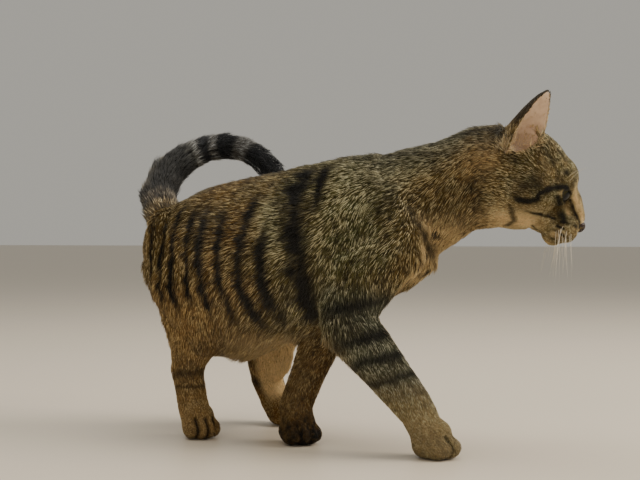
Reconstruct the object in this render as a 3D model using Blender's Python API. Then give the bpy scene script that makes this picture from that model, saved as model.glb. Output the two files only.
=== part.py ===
"""A tabby house cat in mid step, as a still life-size model in separate solids.

Row frame: metres in Blender, +X forwards along the trunk, +Y to the cat's left, +Z up,
floor at Z = 0. Every length and place below is in millimetres and goes through MM.
"""

import math

import bmesh
import bpy
from mathutils import Matrix, Vector

MM = 0.001

# How the skin that wraps the muscles is made, in millimetres. It lies at the tips of the coat.
GAP = 0.4  # air between neighbouring solids
WELD = 0.04  # corners of a finished piece nearer than this are one
BENT = 3  # how many times wider the air is at a bent cut, which thinning moves more than a flat one
CRUMB = 0.02  # the same between one cut and the next
VOXEL = 2.6  # grain of the skin that wraps the muscles
# Share of the skin's triangles that each piece keeps, by the first word of its name
KEPT = {"head": 0.14, "nose": 0.25, "ear": 0.7, "front": 0.17, "hind": 0.17, "tail": 0.07}
KEPT_ELSEWHERE = 0.055
RING = 20  # corners round a limb

# Skeleton: where the joints stand, in millimetres
JOINT = {
    "shoulder_right": (78, -52, 164), "elbow_right": (30, -66, 110),
    "wrist_right": (93, -54, 36), "toes_right": (112, -50, 12),
    "shoulder_left": (50, 20, 160), "elbow_left": (-4, -8, 120),
    "wrist_left": (-27, -38, 34), "toes_left": (-18, -46, 12),
    "hip_right": (-152, -46, 172), "knee_right": (-106, -60, 112),
    "hock_right": (-138, -46, 62), "ball_right": (-123, -54, 20),
    "hip_left": (-138, 24, 172), "knee_left": (-82, 18, 90),
    "hock_left": (-106, 39, 47), "ball_left": (-97, 44, 19),
}


def vec(point):
    return Vector(point) * MM


def joint(name):
    return Vector(JOINT[name])


def new_object(name, bm):
    mesh = bpy.data.meshes.new(name)
    bm.to_mesh(mesh)
    bm.free()
    made = bpy.data.objects.new(name, mesh)
    bpy.context.scene.collection.objects.link(made)
    return made


def ball(bm, centre, radii, turn=None, subdivisions=3):
    """An ellipsoid with these radii along the axes of turn, a 3x3 matrix."""
    place = Matrix.Translation(vec(centre))
    if turn is not None:
        place = place @ turn.to_4x4()
    shape = place @ Matrix.Diagonal((*vec(radii), 1.0))
    bmesh.ops.create_icosphere(bm, subdivisions=subdivisions, radius=1.0, matrix=shape)


def loft(bm, stations, side):
    """A closed body through rings. A station is (centre, half width, height above, height below):
    the ring stands square to the path, and its width runs along side as nearly as it can."""
    centres = [Vector(s[0]) for s in stations]
    rings = []
    for i, (_, width, above, below) in enumerate(stations):
        along = (centres[min(i + 1, len(centres) - 1)] - centres[max(i - 1, 0)]).normalized()
        across = (side - along * side.dot(along)).normalized()
        up = along.cross(across)
        ring = []
        for k in range(RING):
            angle = 2 * math.pi * k / RING
            rise = math.sin(angle)
            height = above if rise > 0 else below
            point = centres[i] + across * (width * math.cos(angle)) + up * (height * rise)
            ring.append(bm.verts.new(point * MM))
        rings.append(ring)
    for first, second in zip(rings, rings[1:]):
        for k in range(RING):
            bm.faces.new((first[k], first[k - 1], second[k - 1], second[k]))
    for ring in (rings[0], rings[-1]):
        bm.faces.new(ring)


LEFT = Vector((0, 1, 0))


def limb(bm, stations, side=LEFT):
    """A round-ended limb: a loft through (centre, half width, half depth) with a ball at each end."""
    loft(bm, [(centre, width, depth, depth) for centre, width, depth in stations], side)
    for centre, width, depth in (stations[0], stations[-1]):
        ball(bm, centre, (min(width, depth),) * 3)


# Rings of the trunk from rump to breast: centre, half width, height above, height below
TRUNK = [
    ((-192, 0, 185), 18, 12, 16),
    ((-182, -4, 177), 37, 24, 38),
    ((-160, -11, 170), 52, 44, 64),
    ((-125, -17, 165), 62, 61, 97),
    ((-85, -21, 162), 67, 70, 97),
    ((-45, -23, 164), 65, 73, 79),
    ((-5, -23, 169), 60, 75, 66),
    ((30, -20, 176), 54, 74, 60),
    ((60, -15, 182), 46, 71, 50),
    ((82, -10, 190), 33, 60, 40),
]
# Rings of the neck, each square to a path that climbs from the breast to the skull
NECK = [
    ((56, -15, 194), 42, 55, 50),
    ((82, -8, 206), 38, 52, 44),
    ((107, 0, 218), 34, 45, 40),
    ((130, 9, 227), 32, 46.5, 44),
    ((152, 18, 232), 31, 43, 50),
]
# The tail rises behind the rump and arches over the left side of the back: centre and radius
TAIL = [
    ((-188, 2, 186), 18),
    ((-204, 9, 199), 19.5),
    ((-219, 21, 217), 19.5),
    ((-223, 40, 240), 19),
    ((-214, 57, 256), 17),
    ((-199, 69, 266), 15),
    ((-180, 77, 270), 14.5),
    ((-160, 82, 267), 13.5),
    ((-142, 84, 258), 13.5),
    ((-127, 84.5, 245), 13.5),
    ((-116, 82.5, 227), 12.5),
    ((-110, 79.5, 209), 9.5),
]


def add_trunk(bm):
    loft(bm, TRUNK, LEFT)
    loft(bm, NECK, LEFT)


def add_tail(bm):
    limb(bm, [(centre, radius, radius) for centre, radius in TAIL])


# Where muscles swell off the straight line between two joints, as (forwards, outwards, up)
BLADE_TOP = (-42, -14, 58)  # of the shoulder blade, from the shoulder
TRICEPS = (-7, 0, 6)
BUTTOCK = (-4, 0, 10)
HAMSTRING = (-14, 0, -22)
THIGH_MIDDLE = (-3, 2, -3)
KNEE_CAP = (-6, 0, -4)
HEEL_CORD = ((-8, 0, 42), (-2, 0, 14))  # above the heel, as it leaves the thigh and as it narrows
# The forearm that reaches out swells forwards, and the shank that drags behind swells backwards
FOREARM_SWELL = {"right": (2.0, 0, 1.7), "left": (0, 0, 0)}
SHANK_SWELL = {"right": ((0, 0, 0), 24), "left": ((-3, 0, -2), 28)}  # and the half depth there

FRONT_PAW, HIND_PAW = 18.5, 17.0  # half widths
PAW_YAW = {
    "front_right": math.radians(14), "front_left": math.radians(-26),
    "hind_right": math.radians(-32), "hind_left": math.radians(-8),
}
HIND_TOES = (14, -8)  # from the ball of the foot, forwards and up
TOE_SPREAD = (-1.5, -0.52, 0.52, 1.5)  # of the four toes, in toe widths
TOE_REACH = (0.0, 7.0, 7.0, 0.0)  # how far the middle toes lead, in millimetres
TOE_PACK = 0.92  # toes stand this much nearer than their width
TOE_HEIGHT, TOE_RADII = 8.5, (11.5, 0.72, 9.2)  # the middle one in toe widths
PAD_HEIGHT, PAD_BACK = 11, 8  # the middle of the paw over the floor and behind the toes


def off(point, swell, out):
    """The place this far forwards, outwards and up from a joint on the side out."""
    return point + Vector((swell[0], swell[1] * out, swell[2]))


def add_front_leg(bm, side, out):
    """Shoulder blade, upper arm, forearm and paw. out is -1 on the right and 1 on the left."""
    shoulder, elbow = joint(f"shoulder_{side}"), joint(f"elbow_{side}")
    wrist, toes = joint(f"wrist_{side}"), joint(f"toes_{side}")
    blade = off(shoulder, BLADE_TOP, out)
    limb(bm, [(blade, 13, 24), (shoulder.lerp(blade, 0.5), 20, 34), (shoulder, 22, 30)])
    swell = FOREARM_SWELL[side]
    more = Vector(swell).length
    triceps = off(shoulder.lerp(elbow, 0.5), TRICEPS, out)
    limb(bm, [(shoulder, 23, 24), (off(triceps, swell, out), 24, 29 + more), (elbow, 19, 23)])
    limb(bm, [
        (off(elbow, swell, out), 19, 26 + more),
        (off(elbow.lerp(wrist, 0.35), swell, out), 17, 21 + more),
        (off(elbow.lerp(wrist, 0.7), swell, out), 14, 17 + more),
        (off(wrist, swell, out), 14.5, 15.5 + more / 3),
    ])
    add_paw(bm, off(wrist, swell, out), toes, PAW_YAW[f"front_{side}"], FRONT_PAW)


def add_hind_leg(bm, side, out):
    """Thigh, shank, the long foot from hock to ball, and the paw."""
    hip, knee = joint(f"hip_{side}"), joint(f"knee_{side}")
    hock, foot = joint(f"hock_{side}"), joint(f"ball_{side}")
    limb(bm, [
        (off(hip, BUTTOCK, out), 24, 27),
        (off(hip.lerp(knee, 0.5), THIGH_MIDDLE, out), 27, 40),
        (off(knee, KNEE_CAP, out), 20, 27),
    ])
    limb(bm, [
        (off(hip, HAMSTRING, out), 20, 20),
        (off(hock, HEEL_CORD[0], out), 17, 17),
        (off(hock, HEEL_CORD[1], out), 13, 14),
    ])
    swell, depth = SHANK_SWELL[side]
    limb(bm, [(knee, 20, 24), (off(knee.lerp(hock, 0.5), swell, out), 18, depth), (hock, 15, 18)])
    limb(bm, [(hock, 15, 17), (hock.lerp(foot, 0.5), 14, 15), (foot, 15, 14)])
    yaw = PAW_YAW[f"hind_{side}"]
    heading = Vector((math.cos(yaw), math.sin(yaw), 0))
    toes = foot + heading * HIND_TOES[0] + Vector((0, 0, HIND_TOES[1]))
    add_paw(bm, foot, toes, yaw, HIND_PAW)


def add_paw(bm, wrist, toes, yaw, half_width):
    """The pad that carries the weight, and four toes in an arc before it. It reaches under the floor,
    which cuts it flat later."""
    turn = Matrix.Rotation(yaw, 3, "Z")
    heading, across = turn @ Vector((1, 0, 0)), turn @ Vector((0, 1, 0))
    middle = Vector((toes.x, toes.y, PAD_HEIGHT)) - heading * PAD_BACK
    ball(bm, middle, (15, half_width - 2, 13), turn)
    limb(bm, [(wrist, half_width - 3.5, half_width - 2.5), (middle + Vector((0, 0, 3)), half_width - 3, 12)])
    ball(bm, middle + heading * 4 + Vector((0, 0, 9)), (15, half_width - 3.5, 13), turn)
    toe_width = half_width / 2.0
    for spread, reach in zip(TOE_SPREAD, TOE_REACH):
        centre = middle + across * (spread * toe_width * TOE_PACK) + heading * (9 + reach)
        radii = (TOE_RADII[0], TOE_RADII[1] * toe_width, TOE_RADII[2])
        ball(bm, Vector((centre.x, centre.y, TOE_HEIGHT)), radii, turn, 2)


HEAD_ORIGIN = Vector((189, 36, 217))  # on the midline, between the eyes
HEAD_YAW = math.radians(25)  # turned to the cat's left
HEAD_DIP = math.radians(35)  # nose below the horizon
HEAD_TURN = Matrix.Rotation(HEAD_YAW, 3, "Z") @ Matrix.Rotation(HEAD_DIP, 3, "Y")

EYE_RADIUS = 10.5
EYE_AT = (-6.0, 15.5, -6.5)  # forwards, left and up from HEAD_ORIGIN
EYE_OUT = math.radians(30)  # how far the gaze turns out from straight ahead
LID = 2.2  # flesh over the eyeball
EYE_OPENING = (7.6, 5.8)  # half width and half height between the lids

EAR_BASE = (-49.0, 20.0, -4.0)
EAR_LENGTH = 60.0
EAR_WIDTH = 17.5  # radius of the cone at the base
EAR_CURL = (112.0, 34.0)  # degrees the leaf bends each way at the base, and how many fewer at the tip
EAR_FLAT = 0.9  # how deep the cone is for its width
EAR_TIP = 1.5  # half width of the blunt tip
EAR_WALL = 1.8
EAR_LEAN = (math.radians(-14), math.radians(-9), math.radians(42))  # outwards, backwards, turned out
EAR_ROWS, EAR_COLUMNS = 9, 9

# Bridge of the nose from brow to tip: place in the head, half width, half depth
BRIDGE = [
    ((-4.5, 0, 1.5), 15, 9),
    ((9.5, 0, -3.8), 11, 8.5),
    ((20.8, 0, -13.4), 9, 7.5),
    ((26.5, 0, -18.5), 7.5, 6),
]
# The other muscles and bones of the head: place, radii and dip in degrees, left and right alike
HEAD_SHAPES = {
    "braincase": ((-37, 0, -2), (38, 33, 32), 0),
    "forehead": ((-13, 0, 2.5), (20, 25, 21), 20),
    "throat": ((-32, 0, -33), (28, 27, 24), 0),
    "cheek": ((-26, 20, -19), (25, 17, 21), 0),
    "whisker_pad": ((16, 7.5, -27.3), (14, 10.3, 11.5), 25),
    "lower_jaw": ((-8, 13, -33), (20, 10, 9), 8),
    "muzzle": ((7, 0, -24), (15, 13, 13), 0),
    "chin": ((13.5, 0, -38), (9.5, 10, 8), 0),
    "behind_ear": ((-64, 17, 8), (10, 10, 11), 0),
}


def in_head(forwards, left, up):
    """A place given from the point between the eyes, in the row's millimetres."""
    return HEAD_ORIGIN + HEAD_TURN @ Vector((forwards, left, up))


def add_head(bm):
    for (forwards, left, up), radii, dip in HEAD_SHAPES.values():
        turn = HEAD_TURN @ Matrix.Rotation(math.radians(dip), 3, "Y")
        for out in (-1, 1) if left else (1,):
            ball(bm, in_head(forwards, left * out, up), radii, turn)
    for out in (-1, 1):
        ball(bm, eye_centre(out), (EYE_RADIUS + LID,) * 3)
    across = HEAD_TURN @ LEFT
    limb(bm, [(in_head(*place), width, depth) for place, width, depth in BRIDGE], across)


def eye_centre(out):
    return in_head(EYE_AT[0], EYE_AT[1] * out, EYE_AT[2])


def eye_opening(out):
    """The hole between the lids, from the middle of the eyeball outwards."""
    bm = bmesh.new()
    turn = HEAD_TURN @ Matrix.Rotation(EYE_OUT * out, 3, "Z")
    upright = turn @ Matrix.Rotation(math.radians(90), 3, "Y")
    half_width, half_height = EYE_OPENING
    middle = eye_centre(out) + turn @ Vector((EYE_RADIUS, 0, 0))
    shape = Matrix.Diagonal((*vec((half_height, half_width, 2 * EYE_RADIUS)), 1.0))
    place = Matrix.Translation(vec(middle)) @ upright.to_4x4() @ shape
    bmesh.ops.create_cone(bm, cap_ends=True, segments=RING, radius1=1, radius2=1, depth=1, matrix=place)
    return new_object("cutter", bm)


def ear_turn(out):
    """Axes of an ear: its hollow faces along +X, its width along +Y and its tip along +Z."""
    outwards, backwards, turned = EAR_LEAN
    lean = Matrix.Rotation(outwards * out, 3, "X") @ Matrix.Rotation(backwards, 3, "Y")
    return HEAD_TURN @ lean @ Matrix.Rotation(turned * out, 3, "Z")


def ear(name, out):
    """A pointed leaf curled into an open cone and thickened to a wall."""
    bm = bmesh.new()
    grid = []
    for i in range(EAR_ROWS + 1):
        up = i / EAR_ROWS
        radius = EAR_WIDTH * (1 - up ** 1.9) ** 0.8 + EAR_TIP
        curl = math.radians(EAR_CURL[0] - EAR_CURL[1] * up)
        line = []
        for k in range(EAR_COLUMNS + 1):
            angle = curl * (2 * k / EAR_COLUMNS - 1)
            place = Vector((-radius * math.cos(angle) * EAR_FLAT, radius * math.sin(angle), EAR_LENGTH * up))
            line.append(bm.verts.new(place * MM))
        grid.append(line)
    for i in range(EAR_ROWS):
        for k in range(EAR_COLUMNS):
            bm.faces.new((grid[i][k], grid[i][k + 1], grid[i + 1][k + 1], grid[i + 1][k]))
    place = Matrix.Translation(in_head(EAR_BASE[0], EAR_BASE[1] * out, EAR_BASE[2]) * MM)
    bm.transform(place @ ear_turn(out).to_4x4())
    made = new_object(name, bm)
    wall = made.modifiers.new("wall", "SOLIDIFY")
    wall.thickness = EAR_WALL * MM
    wall.offset = 0.0
    return made


def applied(obj):
    """Bakes the modifiers of obj into its mesh."""
    graph = bpy.context.evaluated_depsgraph_get()
    mesh = bpy.data.meshes.new_from_object(obj.evaluated_get(graph))
    obj.modifiers.clear()
    obj.data = mesh
    return obj


def wrapped(name, bm):
    """One smooth skin round every shape in bm."""
    body = new_object(name, bm)
    remesh = body.modifiers.new("wrap", "REMESH")
    remesh.mode = "VOXEL"
    remesh.voxel_size = VOXEL * MM
    smooth = body.modifiers.new("smooth", "SMOOTH")
    smooth.factor, smooth.iterations = 0.5, 8
    return applied(body)


def thinned(obj):
    """Welds the slivers along the cuts and leaves the piece its share of the triangles, most of them
    where the surface bends."""
    welded(obj, WELD)
    thin = obj.modifiers.new("thin", "DECIMATE")
    thin.ratio = KEPT.get(obj.name.split("_")[0], KEPT_ELSEWHERE)
    applied(obj)
    bm = bmesh.new()
    bm.from_mesh(obj.data)
    bmesh.ops.dissolve_degenerate(bm, edges=bm.edges, dist=WELD * MM)
    flaps = {edge.link_faces[0] for edge in bm.edges if len(edge.link_faces) == 1}
    bmesh.ops.delete(bm, geom=list(flaps), context="FACES")
    largest_island(bm)
    bmesh.ops.triangulate(bm, faces=bm.faces)
    bm.to_mesh(obj.data)
    bm.free()


def largest_island(bm):
    """Deletes every loose crumb in bm but the piece with the most corners."""
    islands, seen = [], set()
    for start in bm.verts:
        if start in seen:
            continue
        island, front = {start}, [start]
        while front:
            for edge in front.pop().link_edges:
                for vert in edge.verts:
                    if vert not in island:
                        island.add(vert)
                        front.append(vert)
        seen |= island
        islands.append(island)
    keep = max(islands, key=len)
    bmesh.ops.delete(bm, geom=[v for v in bm.verts if v not in keep], context="VERTS")


def welded(obj, distance):
    weld = obj.modifiers.new("weld", "WELD")
    weld.merge_threshold = distance * MM


def boolean(obj, cutter, operation):
    change = obj.modifiers.new(operation.lower(), "BOOLEAN")
    change.operation, change.solver, change.object = operation, "EXACT", cutter
    welded(obj, CRUMB)
    applied(obj)


def drop(obj):
    bpy.data.objects.remove(obj)


def bag(spheres):
    """A cutter: the convex body round spheres of (centre, radius). It comes back as a function of how
    much larger it is made, in BENT steps."""
    def made(grown):
        bm = bmesh.new()
        for centre, radius in spheres:
            ball(bm, centre, (radius + BENT * grown,) * 3, subdivisions=1)
        bmesh.ops.delete(bm, geom=bm.edges, context="EDGES_FACES")
        bmesh.ops.convex_hull(bm, input=bm.verts)
        bmesh.ops.delete(bm, geom=[v for v in bm.verts if not v.link_faces], context="VERTS")
        return new_object("cutter", bm)
    return made


def block(start, direction, length, half):
    """A cutter like bag: a square bar that begins with a flat face at start and runs along direction."""
    def made(grown):
        bm = bmesh.new()
        along = Vector(direction).normalized()
        turn = along.to_track_quat("Z", "Y").to_matrix().to_4x4()
        size = (2 * (half + grown), 2 * (half + grown), length + 2 * grown)
        middle = Matrix.Translation(vec(Vector(start) + along * (length / 2)))
        bmesh.ops.create_cube(bm, size=1.0, matrix=middle @ turn @ Matrix.Diagonal((*vec(size), 1.0)))
        return new_object("cutter", bm)
    return made


def carve(rest, name, cutter):
    """Takes what the cutter holds off rest as an object of its own, and leaves GAP between them."""
    piece = rest.copy()
    piece.data = rest.data.copy()
    piece.name = name
    bpy.context.scene.collection.objects.link(piece)
    for obj, operation, grown in ((piece, "INTERSECT", 0.0), (rest, "DIFFERENCE", GAP)):
        tool = cutter(grown)
        boolean(obj, tool, operation)
        drop(tool)
    return piece


def fitted(obj, neighbour):
    """Cuts the neighbour, GAP fatter, out of obj."""
    fat = neighbour.copy()
    bpy.context.scene.collection.objects.link(fat)
    swell = fat.modifiers.new("swell", "DISPLACE")
    swell.strength, swell.mid_level = GAP * MM, 0.0
    applied(fat)
    boolean(obj, fat, "DIFFERENCE")
    drop(fat)


def tail_cut(index, length, half):
    """A bar that takes the tail from its ring of this index on."""
    run = Vector(TAIL[index + 1][0]) - Vector(TAIL[index - 1][0])
    return block(TAIL[index][0], run, length, half)


def front_paw_cut(side):
    elbow, wrist = joint(f"elbow_{side}"), joint(f"wrist_{side}")
    return block(wrist, wrist - elbow, 60, 45)


def hind_paw_cut(side):
    hock, foot = joint(f"hock_{side}"), joint(f"ball_{side}")
    return block(hock.lerp(foot, 0.75), foot - hock, 50, 36)


def lower_leg_cut(side):
    hock = joint(f"hock_{side}")
    return block((hock.x, hock.y, SHANK_TOP), (0, 0, -1), SHANK_TOP, 38)


SHANK_TOP = 66.0  # where the shank comes out of the fur of the thigh
FOREARM_TOP = 84.0  # where the left forearm comes out from under the chest
UPPER_ARM = {
    "right": [((40, -62, 212), 18), ((76, -64, 168), 30), ((28, -80, 112), 32)],
    "left": [((8, 34, 212), 16), ((48, 30, 166), 28), ((4, 16, 132), 26), ((-9, -15, 100), 27)],
}
THIGH = {
    "right": [((-156, -58, 168), 32), ((-134, -68, 128), 34), ((-106, -74, 108), 27), ((-140, -54, 86), 24)],
    "left": [((-142, 36, 168), 32), ((-120, 38, 128), 34), ((-84, 29, 93), 31), ((-109, 35, 82), 30)],
}
NOSE_LEATHER = [((29, 2.5, -17), 5), ((29, -2.5, -17), 5), ((31, 0, -23), 3)]  # places in the head

# In the order they are cut. What is left at the end is the trunk.
CUTS = {
    "tail_tip": tail_cut(8, 80, 40),
    "tail_middle": tail_cut(4, 130, 70),
    "tail_base": block((-211, 15, 208), (-31, 19, 36), 110, 60),
    "front_paw_right": front_paw_cut("right"),
    "forearm_right": block((35, -65, 104), (0.64, 0.12, -0.75), 110, 36),
    "front_paw_left": front_paw_cut("left"),
    "forearm_left": block((-12, -20, FOREARM_TOP), (0, 0, -1), FOREARM_TOP, 34),
    "hind_paw_right": hind_paw_cut("right"),
    "lower_leg_right": lower_leg_cut("right"),
    "hind_paw_left": hind_paw_cut("left"),
    "lower_leg_left": lower_leg_cut("left"),
    "nose": bag([(in_head(*place), radius) for place, radius in NOSE_LEATHER]),
    "head": block((130, 9, 228), (0.85, 0.40, -0.10), 120, 85),
    "neck": block((84, -9, 200), (0.83, 0.30, 0.45), 90, 75),
    "upper_arm_right": bag(UPPER_ARM["right"]),
    "upper_arm_left": bag(UPPER_ARM["left"]),
    "thigh_right": bag(THIGH["right"]),
    "thigh_left": bag(THIGH["left"]),
    "chest": block((-10, -20, 170), (1, 0, 0), 150, 150),
}

# Colours by the first word of a name: pale feet, ochre legs, a greyer front, a dark tail
COAT = {
    "head": (0.19, 0.15, 0.10), "neck": (0.21, 0.15, 0.09), "chest": (0.17, 0.14, 0.10),
    "trunk": (0.18, 0.13, 0.08), "upper": (0.16, 0.14, 0.11), "forearm": (0.24, 0.18, 0.10),
    "thigh": (0.20, 0.14, 0.08), "lower": (0.32, 0.20, 0.09), "front": (0.30, 0.22, 0.13),
    "hind": (0.33, 0.21, 0.10), "tail": (0.10, 0.09, 0.09), "nose": (0.16, 0.07, 0.05),
    "ear": (0.42, 0.31, 0.26), "eye": (0.30, 0.30, 0.10),
}
ROUGHNESS = {"nose": 0.5, "eye": 0.08}
FUR_ROUGHNESS = 0.9


def painted(obj):
    """Smooth shading, and a material with the colour of this part of the coat."""
    kind = obj.name.split("_")[0]
    material = bpy.data.materials.new(obj.name)
    material.use_nodes = True
    shader = material.node_tree.nodes["Principled BSDF"]
    shader.inputs["Base Color"].default_value = (*COAT[kind], 1)
    shader.inputs["Roughness"].default_value = ROUGHNESS.get(kind, FUR_ROUGHNESS)
    obj.data.materials.clear()
    obj.data.materials.append(material)
    obj.data.shade_smooth()


def flesh():
    """The whole body wrapped in one skin and cut flat where it stands on the floor."""
    bm = bmesh.new()
    add_trunk(bm)
    add_tail(bm)
    for side, out in (("right", -1), ("left", 1)):
        add_front_leg(bm, side, out)
        add_hind_leg(bm, side, out)
    add_head(bm)
    body = wrapped("trunk", bm)
    above_floor = block((0, 0, 0), (0, 0, 1), 400, 400)(0.0)
    boolean(body, above_floor, "INTERSECT")
    drop(above_floor)
    return body


def centre_on_floor():
    """Slides everything so that the middle of the box round it stands over the origin."""
    corners = [vert.co for obj in bpy.data.objects for vert in obj.data.vertices]
    middle = [(min(c[i] for c in corners) + max(c[i] for c in corners)) / 2 for i in (0, 1)]
    for obj in bpy.data.objects:
        obj.data.transform(Matrix.Translation((-middle[0], -middle[1], 0)))


def set_eye(body, side, out):
    """An eyeball in a socket, with the hole between the lids before it."""
    socket, eyeball = bmesh.new(), bmesh.new()
    ball(socket, eye_centre(out), (EYE_RADIUS + 2 * GAP,) * 3, subdivisions=2)
    ball(eyeball, eye_centre(out), (EYE_RADIUS,) * 3, subdivisions=2)
    for hole in (eye_opening(out), new_object("cutter", socket)):
        boolean(body, hole, "DIFFERENCE")
        drop(hole)
    painted(new_object(f"eye_{side}", eyeball))


def build():
    for old in list(bpy.data.objects):
        bpy.data.objects.remove(old)

    body = flesh()
    pieces = []
    for side, out in (("right", -1), ("left", 1)):
        wall = applied(ear(f"ear_{side}", out))
        fitted(wall, body)
        pieces.append(wall)
        set_eye(body, side, out)
    pieces += [carve(body, name, cutter) for name, cutter in CUTS.items()]
    pieces.append(body)
    for piece in pieces:
        thinned(piece)
        painted(piece)
    centre_on_floor()


build()
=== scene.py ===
import math

import bmesh
import bpy
import numpy as np
from mathutils import Matrix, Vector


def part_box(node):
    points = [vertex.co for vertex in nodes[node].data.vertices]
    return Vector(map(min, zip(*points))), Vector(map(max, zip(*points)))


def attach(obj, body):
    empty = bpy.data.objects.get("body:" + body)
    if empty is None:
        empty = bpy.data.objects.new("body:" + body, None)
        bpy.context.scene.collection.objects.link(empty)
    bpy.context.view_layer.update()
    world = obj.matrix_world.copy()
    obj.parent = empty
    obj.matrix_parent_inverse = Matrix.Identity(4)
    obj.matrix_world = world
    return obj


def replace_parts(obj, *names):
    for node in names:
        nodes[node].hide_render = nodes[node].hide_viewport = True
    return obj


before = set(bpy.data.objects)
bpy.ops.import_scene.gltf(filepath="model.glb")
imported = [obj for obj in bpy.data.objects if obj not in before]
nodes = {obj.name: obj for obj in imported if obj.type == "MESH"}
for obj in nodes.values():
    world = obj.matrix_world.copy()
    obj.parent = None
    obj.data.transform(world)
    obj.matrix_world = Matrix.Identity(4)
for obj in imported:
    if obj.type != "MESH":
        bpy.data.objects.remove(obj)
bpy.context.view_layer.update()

mm = 0.001
rng = np.random.default_rng(11)


def unit(v):  # each row over its own length
    return v / np.maximum(np.linalg.norm(v, axis=-1, keepdims=True), 1e-12)


def dot(a, b):  # row by row, the products added up
    return (a * b).sum(axis=-1)


def smooth(low, high, x):  # 0 before low, 1 after high, and an S between them
    t = np.clip((x - low) / (high - low), 0, 1)
    return t * t * (3 - 2 * t)


def bell(x, width):  # 1 where x is 0, falling away on both sides
    return np.exp(-(x / width) ** 2)


def blend(a, b, t):  # a where t is 0, b where t is 1, in proportion between
    return a + (b - a) * t


def mirrored(places):  # folded on to the left side: the middle coordinate without its sign
    return places * (1, 0, 1) + np.abs(places) * (0, 1, 0)


def linear(r, g, b):  # a colour as a screen shows it, made linear
    c = np.array([r, g, b]) / 255
    return np.where(c < 0.04045, c / 12.92, ((c + 0.055) / 1.055) ** 2.4)


def noise(points, size, seed=0):
    # random numbers at the corners of a cubic grid, blended between them with an S curve, from -1 to 1
    cell = points / size
    low = np.floor(cell).astype(np.int64)
    t = cell - low
    t = t * t * (3 - 2 * t)
    total = np.zeros(len(points))
    for corner in range(8):
        step = np.array([corner & 1, corner >> 1 & 1, corner >> 2 & 1])
        at = low + step
        mixed = at[:, 0] * 73856093 ^ at[:, 1] * 19349663 ^ at[:, 2] * 83492791 ^ (seed + 1) * 40503
        mixed = (mixed ^ mixed >> 13) * 1274126177
        total += np.prod(np.where(step, t, 1 - t), axis=1) * ((mixed ^ mixed >> 16) & 65535) / 65535
    return total * 2 - 1


def linked(name, data):  # an object in the scene that holds this mesh, light or camera
    made = bpy.data.objects.new(name, data)
    bpy.context.scene.collection.objects.link(made)
    return made


def meshObject(name, points, faces, material=None):  # faces all have the same number of corners
    faces = np.asarray(faces, dtype=np.int32)
    mesh = bpy.data.meshes.new(name)
    mesh.vertices.add(len(points))
    mesh.vertices.foreach_set("co", np.asarray(points, dtype=np.float32).ravel())
    mesh.loops.add(faces.size)
    mesh.loops.foreach_set("vertex_index", faces.ravel())
    mesh.polygons.add(len(faces))
    mesh.polygons.foreach_set("loop_start", np.arange(0, faces.size, faces.shape[1], dtype=np.int32))
    mesh.polygons.foreach_set("use_smooth", np.ones(len(faces), dtype=bool))
    mesh.update(calc_edges=True)
    if material:
        mesh.materials.append(material)
    return linked(name, mesh)


def meshValues(items, key, width, kind):  # what a mesh's items hold under a key, a row for each item
    values = np.empty(len(items) * width, dtype=kind)
    items.foreach_get(key, values)
    return values.reshape(-1, width)


def meshPoints(mesh):
    return meshValues(mesh.vertices, "co", 3, np.float32).astype(np.float64)


def meshTriangles(mesh):
    mesh.calc_loop_triangles()
    return meshValues(mesh.loop_triangles, "vertices", 3, np.int32)


def meshEdges(mesh):
    return meshValues(mesh.edges, "vertices", 2, np.int32)


def added(index, values, count):  # rows of values added up by index
    return np.stack([np.bincount(index, values[:, i], count) for i in range(values.shape[1])], axis=1)


def pointNormals(points, triangles):  # each triangle's area vector, added up at its three corners
    a, b, c = (points[triangles[:, i]] for i in range(3))
    area = np.cross(b - a, c - a)
    return unit(sum(added(triangles[:, i], area, len(points)) for i in range(3)))


def relaxed(points, edges, amount, rounds):  # a point moves part of the way to its neighbours' mean
    count = np.bincount(edges.ravel(), minlength=len(points))[:, None]
    for turn in range(rounds):
        total = added(edges[:, 0], points[edges[:, 1]], len(points))
        total += added(edges[:, 1], points[edges[:, 0]], len(points))
        points = points + amount * (total / count - points)
    return points


def setColour(mesh, name, values):  # three numbers for each vertex
    rgba = np.ones((len(values), 4), dtype=np.float32)
    rgba[:, :3] = values
    mesh.attributes.new(name, "FLOAT_COLOR", "POINT").data.foreach_set("color", rgba.ravel())


def applied(obj, name):  # a new object with the modifiers of the old one applied
    mesh = bpy.data.meshes.new_from_object(obj.evaluated_get(bpy.context.evaluated_depsgraph_get()))
    bpy.data.objects.remove(obj)
    return linked(name, mesh)


def middleOf(name):  # half way between the corners of a CAD node
    low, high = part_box(name)
    return (np.array(low) + np.array(high)) / 2


# The head's own axes: forwards along the nose, to its left and up, from the brow
headDip = math.radians(35)
eyesFromBrow = np.array([-6.0, 0, -6.5]) * mm
headLeft = unit(middleOf("eye_left") - middleOf("eye_right"))
level = np.cross(headLeft, [0, 0, 1.0])
headForward = level * math.cos(headDip) - np.array([0, 0, math.sin(headDip)])
headAxes = np.stack([headForward, headLeft, np.cross(headForward, headLeft)])
headOrigin = (middleOf("eye_left") + middleOf("eye_right")) / 2 - eyesFromBrow @ headAxes


def inHead(places):  # from millimetres forwards, left and up of the brow to places in the whole frame
    return headOrigin + np.asarray(places, dtype=float) * mm @ headAxes


def toHead(points):  # the other way, from places to millimetres
    return (points - headOrigin) @ headAxes.T / mm


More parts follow.
